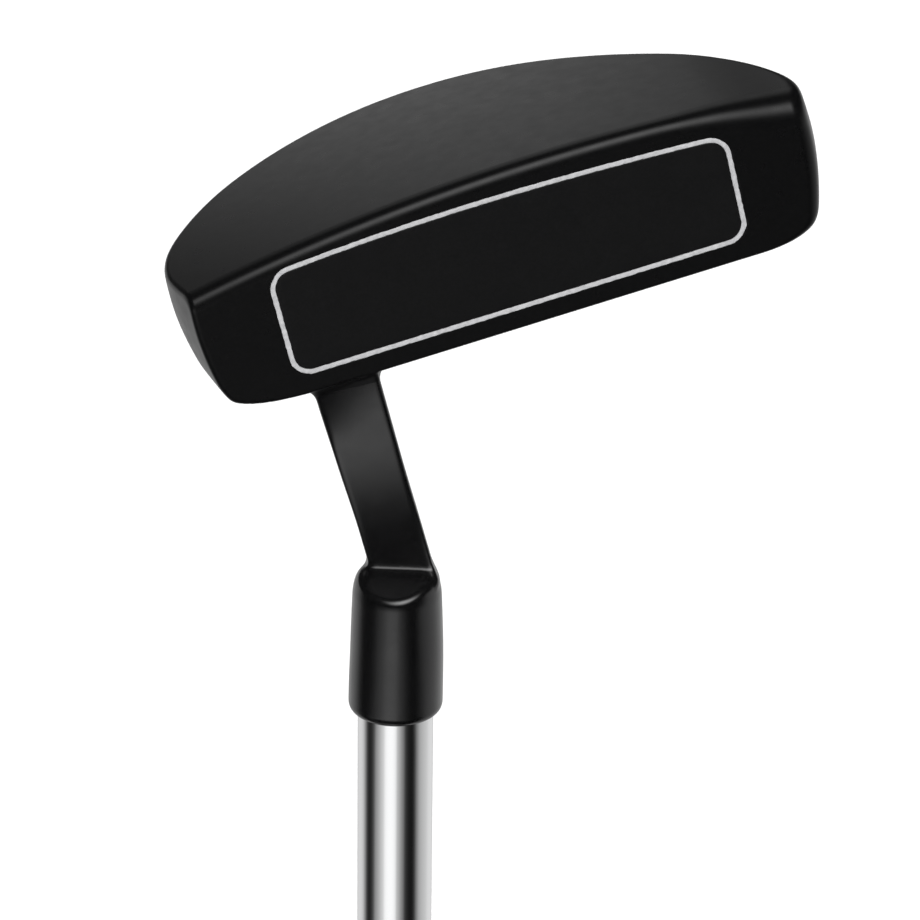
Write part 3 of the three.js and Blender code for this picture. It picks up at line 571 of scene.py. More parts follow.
def field_mesh(name, field, voxel, *extents):
    """Mesh of a field's zero surface inside boxes, with its vertices in the address frame."""
    low, high = np.min(extents, axis=(0, 2)), np.max(extents, axis=(0, 2))
    count = np.ceil((high - low) / voxel).astype(int) + 1
    values = np.ones(count, np.float32)
    axes = [low[a] + voxel * np.arange(count[a]) for a in range(3)]
    for extent in extents:
        index = [np.flatnonzero((axis >= start - 1e-6) & (axis <= end + 1e-6))
                 for axis, (start, end) in zip(axes, extent)]
        x, b, z = (axis[i] for axis, i in zip(axes, index))
        values[np.ix_(*index)] = field(x[:, None, None], b[None, :, None], z[None, None, :])
    verts, quads = surface_net(values, low, voxel)
    for _ in range(SETTLE_ROUNDS):
        verts = verts - settle(field, verts, voxel)
    normals = turn_to_row(gradient(field, verts))
    normals /= np.maximum(np.linalg.norm(normals, axis=1)[:, None], 1e-9)
    return mesh_object(name, to_row(verts), quads, normals), verts


def head_casting():
    """The casting with its two coats: the head's ends at the foot of the neck."""
    casting, verts = field_mesh("head_casting", head_field, VOXEL, HEAD_EXTENT, STEM_EXTENT)
    casting.data.materials.append(black_paint())
    casting.data.materials.append(head_paint())
    for polygon in casting.data.polygons:
        polygon.material_index = int(verts[list(polygon.vertices), 2].mean() < NECK_FOOT)
    return casting


# ---------- face insert and its trim line ----------
def insert_outline(grow, steps=720):
    """Points of the insert's outline on the face plane, about evenly spaced."""
    middle = (INSERT_TOP + INSERT_LOW) / 2
    half = np.array([INSERT_HALF, (INSERT_TOP - INSERT_LOW) / 2])
    side = 2 * half.sum()
    s = np.linspace(0, 2 * side, steps, endpoint=False)
    near = np.array([0, 2 * half[1], side, side + 2 * half[1], 2 * side])
    x = np.interp(s, near, [half[0], half[0], -half[0], -half[0], half[0]])
    z = np.interp(s, near, [-half[1], half[1], half[1], -half[1], -half[1]])
    length = np.hypot(x, z)
    x, z = x / length, z / length
    inner, outer = np.zeros(steps), np.full(steps, INSERT_HALF * 1.3)
    for _ in range(40):
        reach = (inner + outer) / 2
        outside = insert_field(x * reach, middle + z * reach, grow) > 0
        outer = np.where(outside, reach, outer)
        inner = np.where(outside, inner, reach)
    return x * reach, middle + z * reach


def off_face(x, up, depth):
    """Point on the face plane, or a depth behind it, in the address frame."""
    b = FACE_SETBACK + depth * math.cos(LOFT) + up * math.sin(LOFT)
    z = up * math.cos(LOFT) - depth * math.sin(LOFT)
    return np.column_stack([HEAD_MIDDLE + x, b, z])


def face_insert():
    """The plate let into the face, with a small round along its edge."""
    inside = -TRIM_WIDTH / 2 + 0.03
    section = [(0, INSERT_DEPTH), (0, 0.22), (-0.05, 0.09), (-0.14, 0.02), (-0.3, 0), (-1.2, 0)]
    rings = []
    for offset, depth in section:
        x, up = insert_outline(inside + offset)
        rings.append(to_row(off_face(x, up, np.full(len(x), depth))))
    return ring_mesh("face_insert_plate", rings)


def insert_trim():
    """Painted bead round the insert: domed, and slightly uneven as filled by hand."""
    half = TRIM_WIDTH / 2
    section = [(-half, 0.5), (-half, 0.03), (-0.75 * half, -0.6 * TRIM_PROUD), (-0.3 * half, -TRIM_PROUD),
               (0.3 * half, -TRIM_PROUD), (0.75 * half, -0.6 * TRIM_PROUD), (half, 0.02), (half, 0.5)]
    steps = 1440
    around = np.linspace(0, 2 * math.pi, steps, endpoint=False)
    random = np.random.default_rng(SEED)
    inner, outer = unevenness(around, random, 0.035), unevenness(around, random, 0.045)
    buried = np.zeros(steps)
    rings = []
    for (offset, depth), wander in zip(section, [buried] + [inner] * 3 + [outer] * 3 + [buried]):
        x, up = insert_outline(offset, steps)
        out_x, out_up = insert_outline(offset + 0.5, steps)
        x = x + (out_x - x) * wander * 2
        up = up + (out_up - up) * wander * 2
        rings.append(to_row(off_face(x, up, np.full(steps, depth))))
    return ring_mesh("insert_trim_bead", rings, closed=True)


def unevenness(around, random, size):
    """A smooth random wander along a closed line, the same at both ends."""
    out = np.zeros_like(around)
    for turns in (23, 41, 67, 103, 149, 211):
        phase = random.uniform(0, 2 * math.pi)
        out += math.sqrt(1 / 6) * np.sin(turns * around + phase) * random.uniform(0.5, 1)
    return out * size


# ---------- painted lines ----------
def under_skin(body, over, under):
    """The layer between two depths below the casting before it is grooved."""
    return smooth_max(body + over, -under - body, 0.12)


def sight_line(name, offset, foot_side):
    """One straight line along the flange. The centre one climbs the slope; the others have a foot."""
    middle = HEAD_MIDDLE + offset
    half = SIGHT_WIDTH / 2 + PAINT_OVERLAP
    front = SLOPE_FOOT_BACK - (0 if foot_side else SIGHT_CLIMB) - PAINT_OVERLAP

    def field(x, b, z):
        strip = smooth_max(np.abs(x - middle) - half, front - b, 0.25)
        strip = smooth_max(strip, b - FLANGE_REAR + 0.35, 0.25)
        if foot_side:
            outward = foot_side * (x - middle)
            foot = smooth_max(np.abs(outward - SIGHT_FOOT / 2) - SIGHT_FOOT / 2,
                              np.abs(b - SLOPE_FOOT_BACK - SIGHT_FOOT_HALF) - SIGHT_FOOT_HALF, 0.25)
            strip = np.minimum(strip, foot - PAINT_OVERLAP)
        layer = under_skin(hollow_head(x, b, z), 0.1, PAINT_DEPTH + 0.05)
        return smooth_max(smooth_max(strip, layer, 0.15), PAINT_LOW - z, 0.1)

    margin = 0.6
    low_x = middle - half - margin - (SIGHT_FOOT if foot_side < 0 else 0)
    high_x = middle + half + margin + (SIGHT_FOOT if foot_side > 0 else 0)
    extent = ((low_x, high_x), (front - margin, FLANGE_REAR + 0.4), (1.8, 10.5))
    return field_mesh(name, field, PAINT_VOXEL, extent)[0]


def topline_mark():
    """Short white notch across the rear of the topline."""
    half_x, half_b = NOTCH_HALF[0] + PAINT_OVERLAP, NOTCH_HALF[1] + PAINT_OVERLAP

    def field(x, b, z):
        strip = smooth_max(np.abs(x - HEAD_MIDDLE) - half_x, np.abs(b - NOTCH_B) - half_b, 0.2)
        layer = under_skin(hollow_head(x, b, z), 0.04, PAINT_DEPTH + 0.1)
        return smooth_max(smooth_max(strip, layer, 0.12), FACE_HEIGHT - NOTCH_DEPTH - 0.1 - z, 0.1)

    extent = ((HEAD_MIDDLE - 1.6, HEAD_MIDDLE + 1.6), (NOTCH_B - 1.9, NOTCH_B + 1.9),
              (FACE_HEIGHT - 2.2, FACE_HEIGHT + 0.6))
    return field_mesh("topline_notch", field, NOTCH_VOXEL, extent)[0]


def edge_line(end):
    """Thin painted bead along the foot of the slope, tapering to nothing at its ends."""
    steps = 160
    path = edge_path(end, steps)
    tangent = np.gradient(path, axis=0)
    tangent /= np.linalg.norm(tangent, axis=1)[:, None]
    up = np.cross(tangent, [0.0, 0.5, 0.85])
    up /= np.linalg.norm(up, axis=1)[:, None]
    across = np.cross(tangent, up)
    along = np.linspace(0, 1, steps)
    taper = np.sqrt(np.clip(1 - (2 * along - 1) ** 30, 0.02, 1))
    random = np.random.default_rng(SEED + (3 if end == "toe" else 5))
    width = EDGE_LINE_RADIUS * 0.9 * taper * (1 + unevenness(2 * math.pi * along, random, 0.08))
    rings = []
    for turn in np.linspace(0, 2 * math.pi, 16, endpoint=False):
        rings.append(to_row(path + (up * math.cos(turn) + across * math.sin(turn)) * width[:, None]))
    verts = np.stack(rings, 1)
    return ring_mesh(f"edge_bead_{end}", list(verts))


# ---------- shaft and hosel joint ----------
def circle(radius, z, angle):
    """Points round the shaft axis at a height, in metres."""
    x, y = radius * np.cos(angle), radius * np.sin(angle)
    return np.column_stack([x, y, np.full(len(angle), z)]) * MM


def lathe(name, profile, steps=160, closed=False):
    """A turned piece on the shaft axis: (radius, height) in millimetres."""
    angle = np.linspace(0, 2 * math.pi, steps, endpoint=False)
    return ring_mesh(name, [circle(r, z, angle) for r, z in profile], closed)


def shaft():
    """Chromed tube, a little thinner after each soft step towards the head."""
    first = GRIP_LENGTH + SHAFT_STEP_MARGIN
    last = RIM_Z - SHAFT_STEP_MARGIN
    pitch = (last - first) / (SHAFT_STEPS - 1)
    drop = (SHAFT_BUTT_RADIUS - SHAFT_TIP_RADIUS) / SHAFT_STEPS
    profile = [(SHAFT_BUTT_RADIUS - SHAFT_WALL, CAP_HEIGHT + 1), (SHAFT_BUTT_RADIUS, CAP_HEIGHT + 1),
               (SHAFT_BUTT_RADIUS, GRIP_LENGTH - 20)]
    for i in range(SHAFT_STEPS):
        for t in np.linspace(0, 1, 7):
            eased = t * t * (3 - 2 * t)
            height = first + i * pitch + t * SHAFT_STEP_LENGTH
            profile.append((SHAFT_BUTT_RADIUS - (i + eased) * drop, height))
    top = RIM_Z + SOCKET_DEPTH - 0.8
    bore = SHAFT_TIP_RADIUS - SHAFT_WALL
    profile += [(SHAFT_TIP_RADIUS, RIM_Z - 4), (SHAFT_TIP_RADIUS, top), (bore, top), (bore, RIM_Z - 4),
                (SHAFT_BUTT_RADIUS - SHAFT_WALL, GRIP_LENGTH - 20)]
    return lathe("shaft_chromed", profile, 192, closed=True)


def epoxy_fillet():
    """Dark epoxy in the narrow gap between the tube and the hosel's rim."""
    inner, outer = SHAFT_TIP_RADIUS + 0.02, SOCKET_RADIUS - 0.01
    rim = RIM_Z + 0.6
    profile = [(inner, rim + 12), (inner, rim + 0.05), (inner + 0.05, rim),
               ((inner + outer) / 2, rim + 0.12), (outer - 0.04, rim + 0.02), (outer, rim + 0.1),
               (outer, rim + 12)]
    return lathe("hosel_epoxy_fillet", profile, 128, closed=True)


# ---------- grip ----------
def grip_size(z):
    """Half sizes of the grip's section at each height: front, back, side."""
    stations = np.array(GRIP_STATIONS, float)
    place = np.clip(np.searchsorted(stations[:, 0], z, "right") - 1, 0, len(stations) - 2)
    low, high = stations[place], stations[place + 1]
    t = np.clip((z - low[:, 0]) / (high[:, 0] - low[:, 0]), 0, 1)
    soft = t * t * (3 - 2 * t)
    t = np.where((place < 2) | (place > 6), soft, t)
    return (low + (high - low) * t[:, None])[:, 1:]


def grip_section(angle, z, inset):
    """Points of the grip's skin at angles and heights: a D with a flat front."""
    front, back, side = (grip_size(z) - inset[:, None]).T
    square = 1 - GRIP_FLATNESS * (1 - smoothstep(190, 243, z))
    c, s = np.cos(angle), np.sin(angle)
    x = np.where(c > 0, front * np.maximum(c, 0) ** square, -back * np.abs(c) ** 0.94)
    return np.column_stack([x, side * np.sign(s) * np.abs(s) ** 0.96])


def grip_loop(z, inset):
    """One ring round the grip's skin at a height, set in by a depth, in metres."""
    heights = np.full(len(GRIP_ANGLES), float(z))
    xy = grip_section(GRIP_ANGLES, heights, np.zeros(len(GRIP_ANGLES)) + inset)
    return np.column_stack([xy, heights]) * MM


def tread(angle, z):
    """Depth of the moulded herringbone on the sides and back of the grip."""
    across = np.abs(angle) * 11.5
    wave = np.abs(((z + 0.9 * across) / TREAD_PITCH) % 1 - 0.5) * 2
    groove = smoothstep(0.62, 0.95, wave)
    bare_front = smoothstep(0.95, 1.15, np.abs(angle))
    start, end = TREAD_RUN
    band = smoothstep(start, start + 2, z) * (1 - smoothstep(end - 4, end, z))
    return TREAD_DEPTH * groove * bare_front * band


def grip_sleeve():
    """Rubber sleeve with its bore, ring grooves, and tread."""
    grooves = [(z, BUTT_RING_HEIGHT) for z in BUTT_RING_Z] + [(z, MOUTH_RING_HEIGHT) for z in MOUTH_RING_Z]
    rows = [(CAP_HEIGHT, 0.9)]
    for z in np.arange(CAP_HEIGHT + 0.3, GRIP_LENGTH - 0.5, 0.55):
        if all(not low - 0.3 <= z <= low + height + 0.3 for low, height in grooves):
            rows.append((z, 0))
    for low, height in grooves:
        rows += [(low - 0.1, 0.08), (low - 0.02, RING_DEPTH), (low + height + 0.02, RING_DEPTH),
                 (low + height + 0.1, 0.08)]
    rows.sort()
    rows += [(GRIP_LENGTH - 0.3, 0.04), (GRIP_LENGTH - 0.06, 0.2), (GRIP_LENGTH, 0.45)]
    bore = SHAFT_BUTT_RADIUS + GRIP_TAPE + 0.1
    mouth = SHAFT_BUTT_RADIUS + 0.12
    inside = [(mouth, GRIP_LENGTH), (mouth, GRIP_LENGTH - 4.5), (bore, GRIP_LENGTH - 4.6),
              (bore, CAP_HEIGHT)]
    rings = [grip_loop(z, tread(GRIP_ANGLES, z) + inset) for z, inset in rows]
    rings += [circle(radius, z, GRIP_ANGLES) for radius, z in inside]
    return ring_mesh("grip_rubber", rings, closed=True, sharp=50)


def end_cap():
    """Rounded butt end, with the small vent dimple in its middle."""
    dimple = [(0.7, 1.6), (1.1, 1.5), (1.3, 0.6), (1.75, 0.1), (2.2, 0.0)]
    skin = [(0.0, 3.4), (0.03, 2.4), (0.25, 1.4), (0.75, 0.62), (1.5, 0.2), (2.3, 0.03),
            (CAP_HEIGHT - 0.25, 0), (CAP_HEIGHT - 0.06, 0.12)]
    radius = SHAFT_BUTT_RADIUS - 0.8
    spigot = [(radius, CAP_HEIGHT - 0.06), (radius, CAP_HEIGHT + 7), (radius - 1, CAP_HEIGHT + 8)]
    rings = [circle(r, z, GRIP_ANGLES) for r, z in dimple]
    rings += [grip_loop(z, inset) for z, inset in skin]
    rings += [circle(r, z, GRIP_ANGLES) for r, z in spigot]
    return ring_mesh("grip_butt_cap", rings, sharp=50)


def grip_ring(name, z, height):
    """One painted ring, slightly domed, filling its groove in the grip."""
    rows = [(z, RING_DEPTH), (z, 0.07), (z + 0.18, 0.0), (z + height - 0.18, 0.0), (z + height, 0.07),
            (z + height, RING_DEPTH)]
    return ring_mesh(name, [grip_loop(*row) for row in rows], closed=True, sharp=50)


def badge_outline():
    """Plain oval line on the flat front of the grip."""
    steps = 256
    turn = np.linspace(0, 2 * math.pi, steps, endpoint=False)
    angle = np.linspace(-1.5, 1.5, 400)
    section = [(-1.0, 0.5), (-1.0, 0.02), (-0.82, -0.06), (-0.5, -0.09), (-0.18, -0.06), (0, 0.02),
               (0, 0.5)]
    rings = []
    for offset, depth in section:
        y = (BADGE_HALF_WIDTH + offset * BADGE_LINE) * np.cos(turn)
        z = BADGE_Z + (BADGE_HALF_HEIGHT + offset * BADGE_LINE) * np.sin(turn)
        x = np.empty(steps)
        for i in range(steps):
            skin = grip_section(angle, np.full(len(angle), z[i]), np.full(len(angle), depth))
            x[i] = np.interp(y[i], skin[:, 1], skin[:, 0])
        rings.append(np.column_stack([x, y, z]) * MM)
    return ring_mesh("grip_badge_line", rings, closed=True, sharp=50)


# ---------- materials ----------
def feed(tree, socket, value):
    """Links another node's output to a socket, or sets the socket to a plain value."""
    if hasattr(value, "is_output"):
        tree.links.new(value, socket)
    else:
        socket.default_value = value


def add_node(tree, kind, **inputs):
    """A shader node with its inputs set; an underscore stands for a space in an input's name."""
    node = tree.nodes.new(kind)
    for name, value in inputs.items():
        feed(tree, node.inputs[name.replace("_", " ")], value)
    return node


def new_material(name, colour, roughness, metallic=0.0, **extra):
    material = bpy.data.materials.new(name)
    material.use_nodes = True
    shader = material.node_tree.nodes["Principled BSDF"]
    shader.inputs["Base Color"].default_value = (*colour, 1)
    shader.inputs["Roughness"].default_value = roughness
    shader.inputs["Metallic"].default_value = metallic
    for socket, value in extra.items():
        shader.inputs[socket.replace("_", " ")].default_value = value
    return material


class Recipe:
    """A material with noise on it: in object space, in metres, so that its scale is a real one.

    A grain is the noise's size in millimetres, its detail and, if drawn out, its stretch.
    """

    def __init__(self, *values, **extra):
        self.material = new_material(*values, **extra)
        self.tree = self.material.node_tree
        self.shader = self.tree.nodes["Principled BSDF"]
        self.place = self.tree.nodes.new("ShaderNodeTexCoord").outputs["Object"]
        self.height = None

    def noise(self, millimetres, detail, stretch=None):
        place = self.place
        if stretch:
            place = add_node(self.tree, "ShaderNodeMapping", Vector=place, Scale=stretch).outputs["Vector"]
        return add_node(self.tree, "ShaderNodeTexNoise", Vector=place, Scale=1000 / millimetres,
                        Detail=detail).outputs["Fac"]

    def spread(self, grain, low, high):
        return add_node(self.tree, "ShaderNodeMapRange", Value=self.noise(*grain), From_Min=0.3,
                        From_Max=0.7, To_Min=low, To_Max=high).outputs["Result"]

    def roughness(self, grain, low, high):
        self.tree.links.new(self.spread(grain, low, high), self.shader.inputs["Roughness"])

    def colour(self, grain, low, high):
        mix = self.tree.nodes.new("ShaderNodeMix")
        mix.data_type = "RGBA"
        mix.inputs["A"].default_value = (*low, 1)
        mix.inputs["B"].default_value = (*high, 1)
        self.tree.links.new(self.spread(grain, 0, 1), mix.inputs["Factor"])
        self.tree.links.new(mix.outputs["Result"], self.shader.inputs["Base Color"])

    def bump(self, grain, height):
        node = add_node(self.tree, "ShaderNodeBump", Height=self.noise(*grain), Strength=1.0,
                        Distance=height * MM)
        if self.height is not None:
            self.tree.links.new(self.height, node.inputs["Normal"])
        self.height = node.outputs["Normal"]
        self.tree.links.new(self.height, self.shader.inputs["Normal"])


def black_paint():
    """Satin black coat on the casting, with a faint orange peel and fine dust-like grain."""
    recipe = Recipe("black_paint", (0.003, 0.003, 0.0033), 0.21, Specular_IOR_Level=0.8)
    recipe.roughness((2.6, 4), 0.19, 0.23)
    recipe.colour((0.5, 2), (0.0024, 0.0024, 0.0027), (0.0042, 0.0042, 0.0046))
    recipe.bump((1.1, 2), 0.0006)
    recipe.bump((0.16, 2), 0.0005)
    return recipe.material


def head_paint():
    """The head itself keeps a duller coat than its neck and hosel."""
    recipe = Recipe("head_paint", (0.0028, 0.0028, 0.003), 0.3, Specular_IOR_Level=0.3)
    recipe.roughness((2.4, 4), 0.27, 0.33)
    recipe.colour((0.4, 2), (0.0022, 0.0022, 0.0024), (0.0036, 0.0036, 0.0039))
    recipe.bump((0.9, 2), 0.0008)
    return recipe.material


def insert_polymer():
    """Dull moulded insert with a fine even grain."""
    recipe = Recipe("insert_polymer", (0.0045, 0.0045, 0.0048), 0.4, Specular_IOR_Level=0.33)
    recipe.roughness((3.2, 3), 0.37, 0.45)
    recipe.colour((0.35, 2), (0.0035, 0.0035, 0.0038), (0.0056, 0.0056, 0.006))
    recipe.bump((0.22, 2), 0.0022)
    return recipe.material


def trim_paint():
    """Light grey fill of the trim groove, slightly mottled."""
    recipe = Recipe("trim_fill", (0.68, 0.68, 0.69), 0.45, Specular_IOR_Level=0.5)
    recipe.colour((0.8, 4), (0.38, 0.38, 0.39), (0.51, 0.51, 0.52))
    recipe.bump((0.3, 2), 0.004)
    return recipe.material


def line_paint(name, colour, contrast):
    """Hand-filled paint in a groove."""
    recipe = Recipe(name, colour, 0.5)
    low = tuple(c * (1 - contrast) for c in colour)
    recipe.colour((0.9, 4), low, colour)
    recipe.bump((0.35, 2), 0.005)
    return recipe.material


def chrome():
    """Bright chrome with hair-fine polishing marks round the tube and faint haze."""
    recipe = Recipe("chrome", (0.9, 0.905, 0.91), 0.05, 1.0)
    recipe.roughness((14, 4), 0.035, 0.075)
    recipe.bump((1.0, 2, (0.12, 0.12, 5)), 0.0003)
    return recipe.material


def grip_rubber():
    """Moulded rubber: matt, with a fine pebble and slight sheen."""
    recipe = Recipe("grip_rubber", (0.012, 0.012, 0.0125), 0.72, Specular_IOR_Level=0.45)
    recipe.roughness((6, 3), 0.66, 0.8)
    recipe.colour((1.4, 3), (0.009, 0.009, 0.0095), (0.016, 0.016, 0.0165))
    recipe.bump((0.45, 2), 0.02)
    return recipe.material


def epoxy():
    recipe = Recipe("epoxy_dark", (0.02, 0.019, 0.018), 0.3)
    recipe.colour((0.8, 3), (0.012, 0.012, 0.012), (0.03, 0.028, 0.026))
    recipe.bump((0.7, 2), 0.01)
    return recipe.material


def adhesive():
    recipe = Recipe("adhesive_film", (0.5, 0.48, 0.42), 0.55)
    recipe.colour((2.2, 3), (0.4, 0.38, 0.33), (0.56, 0.54, 0.48))
    recipe.bump((1.6, 2), 0.02)
    return recipe.material


def foam_plug():
    recipe = Recipe("foam_plug", (0.45, 0.38, 0.27), 0.9)
    recipe.colour((0.5, 3), (0.34, 0.28, 0.19), (0.52, 0.44, 0.32))
    recipe.bump((0.4, 3), 0.05)
    return recipe.material


def paper_tape():
    recipe = Recipe("grip_tape_paper", (0.62, 0.57, 0.44), 0.8)
    recipe.colour((1.0, 4, (1, 1, 4)), (0.5, 0.46, 0.35), (0.66, 0.61, 0.48))
    recipe.bump((0.5, 3, (1, 1, 5)), 0.02)
    return recipe.material


# ---------- stage ----------
def direction_at(azimuth, elevation):
    """Unit vector at an azimuth from the front, positive towards the toe, and an elevation."""
    flat = math.cos(elevation)
    return Vector((math.sin(azimuth) * flat, -math.cos(azimuth) * flat, math.sin(elevation)))


CAMERA_AZIMUTH, CAMERA_ELEVATION, CAMERA_ROLL = (math.radians(turn) for turn in (-11.81, 25.09, 0.68))
CAMERA_LENS = 186.2
CAMERA_AIM = (0, 0, 0.8076)
CAMERA_OFFSET = (9.24, 34.53, 681.9)  # right, up and back from the aim, before the scale
CAMERA_SCALE = 1.06


def add_camera():
    """The photograph's view: from slightly left of the face and above, on a long lens."""
    back = direction_at(CAMERA_AZIMUTH, CAMERA_ELEVATION)
    level = Vector((math.cos(CAMERA_AZIMUTH), math.sin(CAMERA_AZIMUTH), 0))
    upright = back.cross(level)
    cos, sin = math.cos(CAMERA_ROLL), math.sin(CAMERA_ROLL)
    right, up = level * cos + upright * sin, upright * cos - level * sin
    move = right * CAMERA_OFFSET[0] + up * CAMERA_OFFSET[1] + back * CAMERA_OFFSET[2]
    data = bpy.data.cameras.new("camera")
    data.sensor_width = 36
    data.lens = CAMERA_LENS
    data.clip_start = 0.05
    data.clip_end = 60
    camera = bpy.data.objects.new("camera", data)
    bpy.context.scene.collection.objects.link(camera)
    axes = Matrix((right, up, back)).transposed().to_4x4()
    camera.matrix_world = Matrix.Translation(Vector(CAMERA_AIM) + move * CAMERA_SCALE * MM) @ axes
    bpy.context.scene.camera = camera


def add_floor():
    size = 14.0
    floor = mesh_object("floor", [(-size, -size, 0), (size, -size, 0), (size, size, 0), (-size, size, 0)],
                        [(0, 1, 2, 3)])
    floor.data.materials.append(new_material("floor_white", (0.95, 0.95, 0.95), 0.9))
    floor.visible_glossy = False


# Brightness round the studio a little below the horizon, by azimuth in degrees from the camera,
# positive to its right: a tent behind, a black flag on each side and one softbox in front.
STUDIO_RING = [(-180, 0.2), (-138, 0.7), (-102, 0.25), (-83, 0.02), (-61, 0.28), (-36, 0.7),
               (-14, 1.08), (8, 0.57), (28, 0.17), (38, 0.03), (54, 0.01), (72, 0.2), (84, 0.42),
               (110, 0.6), (142, 0.75), (180, 0.2)]
RING_ELEVATION = -29.0  # degrees where the ring's azimuths hold
RING_SPREAD = 0.06  # its flags and softbox close in by this share for each degree above
SOFTBOX_TOP = (-26.0, -9.5)  # the softbox in front fades out between these elevations
SOFTBOX_FOOT = (-30.0, -36.0)
# Soft lights: azimuth and elevation in degrees, distance from the middle where they start and
# where they are full, height of their shape to its width, and strength.
OVERHEAD = (10.0, 40.0, (0.62, 0.0), 1.0, 5.0)
REAR_LIGHT = (191.0, 12.0, (0.26, 0.0), 2.2, 0.72)
REAR_GLOW = (190.0, 46.0, (0.48, 0.1), 1.0, 0.6)
UPPER_GLOW = 0.03
FILL = 1.08  # even fill for the matt surfaces and the floor


def math_node(tree, operation, *values, kind="ShaderNodeMath", output="Value"):
    node = tree.nodes.new(kind)
    node.operation = operation
    for socket, value in zip(node.inputs, values):
        feed(tree, socket, value)
    return node.outputs[output]


def step_node(tree, value, low, high):
    """Smooth rise from 0 to 1 as the value goes from low to high; falls when low is the greater."""
    if low > high:
        return math_node(tree, "SUBTRACT", 1.0, step_node(tree, value, high, low))
    node = add_node(tree, "ShaderNodeMapRange", Value=value, From_Min=low, From_Max=high)
    node.interpolation_type = "SMOOTHSTEP"
    return node.outputs["Result"]


def mix_node(tree, share, low, high):
    node = tree.nodes.new("ShaderNodeMix")
    node.data_type = "FLOAT"
    for socket, value in ((0, share), (2, low), (3, high)):
        feed(tree, node.inputs[socket], value)
    return node.outputs["Result"]


def ring_light(tree, azimuth):
    """The studio ring as a curve of azimuth, -180 to 180 degrees."""
    ramp = tree.nodes.new("ShaderNodeFloatCurve")
    curve = ramp.mapping.curves[0]
    top = max(value for _, value in STUDIO_RING)
    for place, value in STUDIO_RING[1:-1]:
        curve.points.new((place + 180) / 360, value / top)
    curve.points[0].location = (0, STUDIO_RING[0][1] / top)
    curve.points[-1].location = (1, STUDIO_RING[-1][1] / top)
    for point in curve.points:
        point.handle_type = "AUTO_CLAMPED"
    ramp.mapping.update()
    tree.links.new(math_node(tree, "MULTIPLY_ADD", azimuth, 1 / 360, 0.5), ramp.inputs["Value"])
    return math_node(tree, "MULTIPLY", ramp.outputs["Value"], top)


def soft_light(tree, direction, azimuth, elevation, size, tall, strength):
    """A soft light in one direction of the studio."""
    vector = {"kind": "ShaderNodeVectorMath", "output": "Vector"}
    middle = direction_at(math.radians(azimuth), math.radians(elevation))
    away = math_node(tree, "SUBTRACT", direction, middle, **vector)
    squeezed = math_node(tree, "MULTIPLY", away, (1, 1, 1 / tall), **vector)
    distance = math_node(tree, "LENGTH", squeezed, kind=vector["kind"])
    return math_node(tree, "MULTIPLY", step_node(tree, distance, *size), strength)


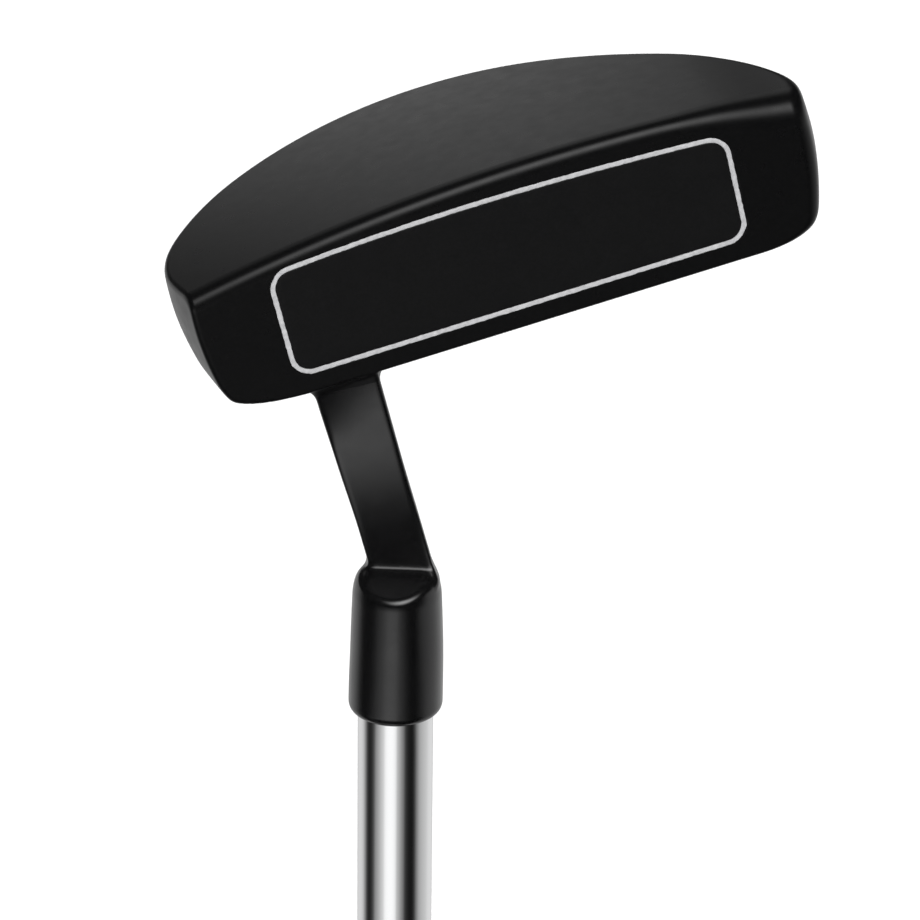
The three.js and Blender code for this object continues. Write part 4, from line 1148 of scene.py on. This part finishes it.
def add_world():
    """Studio light by direction: a ring below the horizon and three soft lights above it."""
    world = bpy.data.worlds.new("studio")
    world.use_nodes = True
    bpy.context.scene.world = world
    tree = world.node_tree
    outward = tree.nodes.new("ShaderNodeTexCoord").outputs["Generated"]
    turn = add_node(tree, "ShaderNodeVectorRotate", Vector=outward, Angle=-CAMERA_AZIMUTH)
    turn.rotation_type = "Z_AXIS"
    direction = turn.outputs["Vector"]
    right, away, up = add_node(tree, "ShaderNodeSeparateXYZ", Vector=direction).outputs
    elevation = math_node(tree, "MULTIPLY", math_node(tree, "ARCSINE", up), 180 / math.pi)
    towards = math_node(tree, "MULTIPLY", away, -1.0)
    azimuth = math_node(tree, "MULTIPLY", math_node(tree, "ARCTAN2", right, towards), 180 / math.pi)
    above = math_node(tree, "SUBTRACT", elevation, RING_ELEVATION)
    spread = math_node(tree, "MULTIPLY_ADD", above, RING_SPREAD, 1.0)
    spread = math_node(tree, "MINIMUM", math_node(tree, "MAXIMUM", spread, 0.9), 1.3)
    front = step_node(tree, towards, 0.0, 0.5)
    spread_azimuth = math_node(tree, "MULTIPLY", azimuth, mix_node(tree, front, 1.0, spread))
    ring = ring_light(tree, spread_azimuth)
    softbox = math_node(tree, "MULTIPLY", step_node(tree, elevation, *reversed(SOFTBOX_TOP)),
                        step_node(tree, elevation, *reversed(SOFTBOX_FOOT)))
    lower = math_node(tree, "MULTIPLY", ring, mix_node(tree, front, 1.0, softbox))
    overhead = soft_light(tree, direction, *OVERHEAD)
    rear_light = soft_light(tree, direction, *REAR_LIGHT)
    rear_glow = soft_light(tree, direction, *REAR_GLOW)
    behind = math_node(tree, "ADD", rear_light, rear_glow)
    upper = math_node(tree, "ADD", math_node(tree, "ADD", overhead, behind), UPPER_GLOW)
    studio = mix_node(tree, step_node(tree, elevation, -2.0, 4.0), lower, upper)
    path = tree.nodes.new("ShaderNodeLightPath")
    strength = mix_node(tree, path.outputs["Is Diffuse Ray"], studio, FILL)
    strength = mix_node(tree, path.outputs["Is Camera Ray"], strength, 1.0)
    background = tree.nodes["Background"]
    background.inputs["Color"].default_value = (1, 1, 1, 1)
    tree.links.new(strength, background.inputs["Strength"])


# ---------- assembly ----------
def place(obj, material, slot, *nodes):
    if material:
        obj.data.materials.append(material)
    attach(obj, "root")
    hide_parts(*nodes)


def main():
    add_camera()
    add_floor()
    add_world()
    place(head_casting(), None, "black_paint", "head_body")
    place(face_insert(), insert_polymer(), "insert", "face_insert")
    place(insert_trim(), trim_paint(), "trim", "insert_trim_line")
    white = line_paint("line_white", (0.8, 0.8, 0.79), 0.12)
    grey = line_paint("line_grey", (0.34, 0.34, 0.35), 0.3)
    for where, side in (("centre", 0), ("toe", 1), ("heel", -1)):
        strip = sight_line(f"sight_strip_{where}", side * SIGHT_PITCH, side)
        place(strip, white, "white_paint", f"sight_line_{where}")
    place(topline_mark(), white, "white_paint", "topline_mark")
    for end in ("toe", "heel"):
        place(edge_line(end), grey, "grey_paint", f"edge_line_{end}")
    place(shaft(), chrome(), "chrome", "shaft_tube")
    place(epoxy_fillet(), epoxy(), "adhesive", "hosel_epoxy")
    rubber = grip_rubber()
    place(grip_sleeve(), rubber, "rubber", "grip_sleeve")
    place(end_cap(), rubber, "rubber", "grip_end_cap")
    rings = [("butt", BUTT_RING_Z, BUTT_RING_HEIGHT, grey, "grey_paint"),
             ("mouth", MOUTH_RING_Z, MOUTH_RING_HEIGHT, white, "white_paint")]
    for where, heights, tall, paint, slot in rings:
        for i, z in enumerate(heights, 1):
            place(grip_ring(f"{where}_ring_{i}", z, tall), paint, slot, f"grip_{where}_ring_{i}")
    place(badge_outline(), grey, "grey_paint", "grip_badge_outline")
    for node, material in (("insert_adhesive_pad", adhesive()), ("shaft_tip_plug", foam_plug()),
                           ("grip_tape", paper_tape())):
        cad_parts[node].data.materials[0] = material


main()
bpy.context.scene.view_settings.view_transform = "Standard"
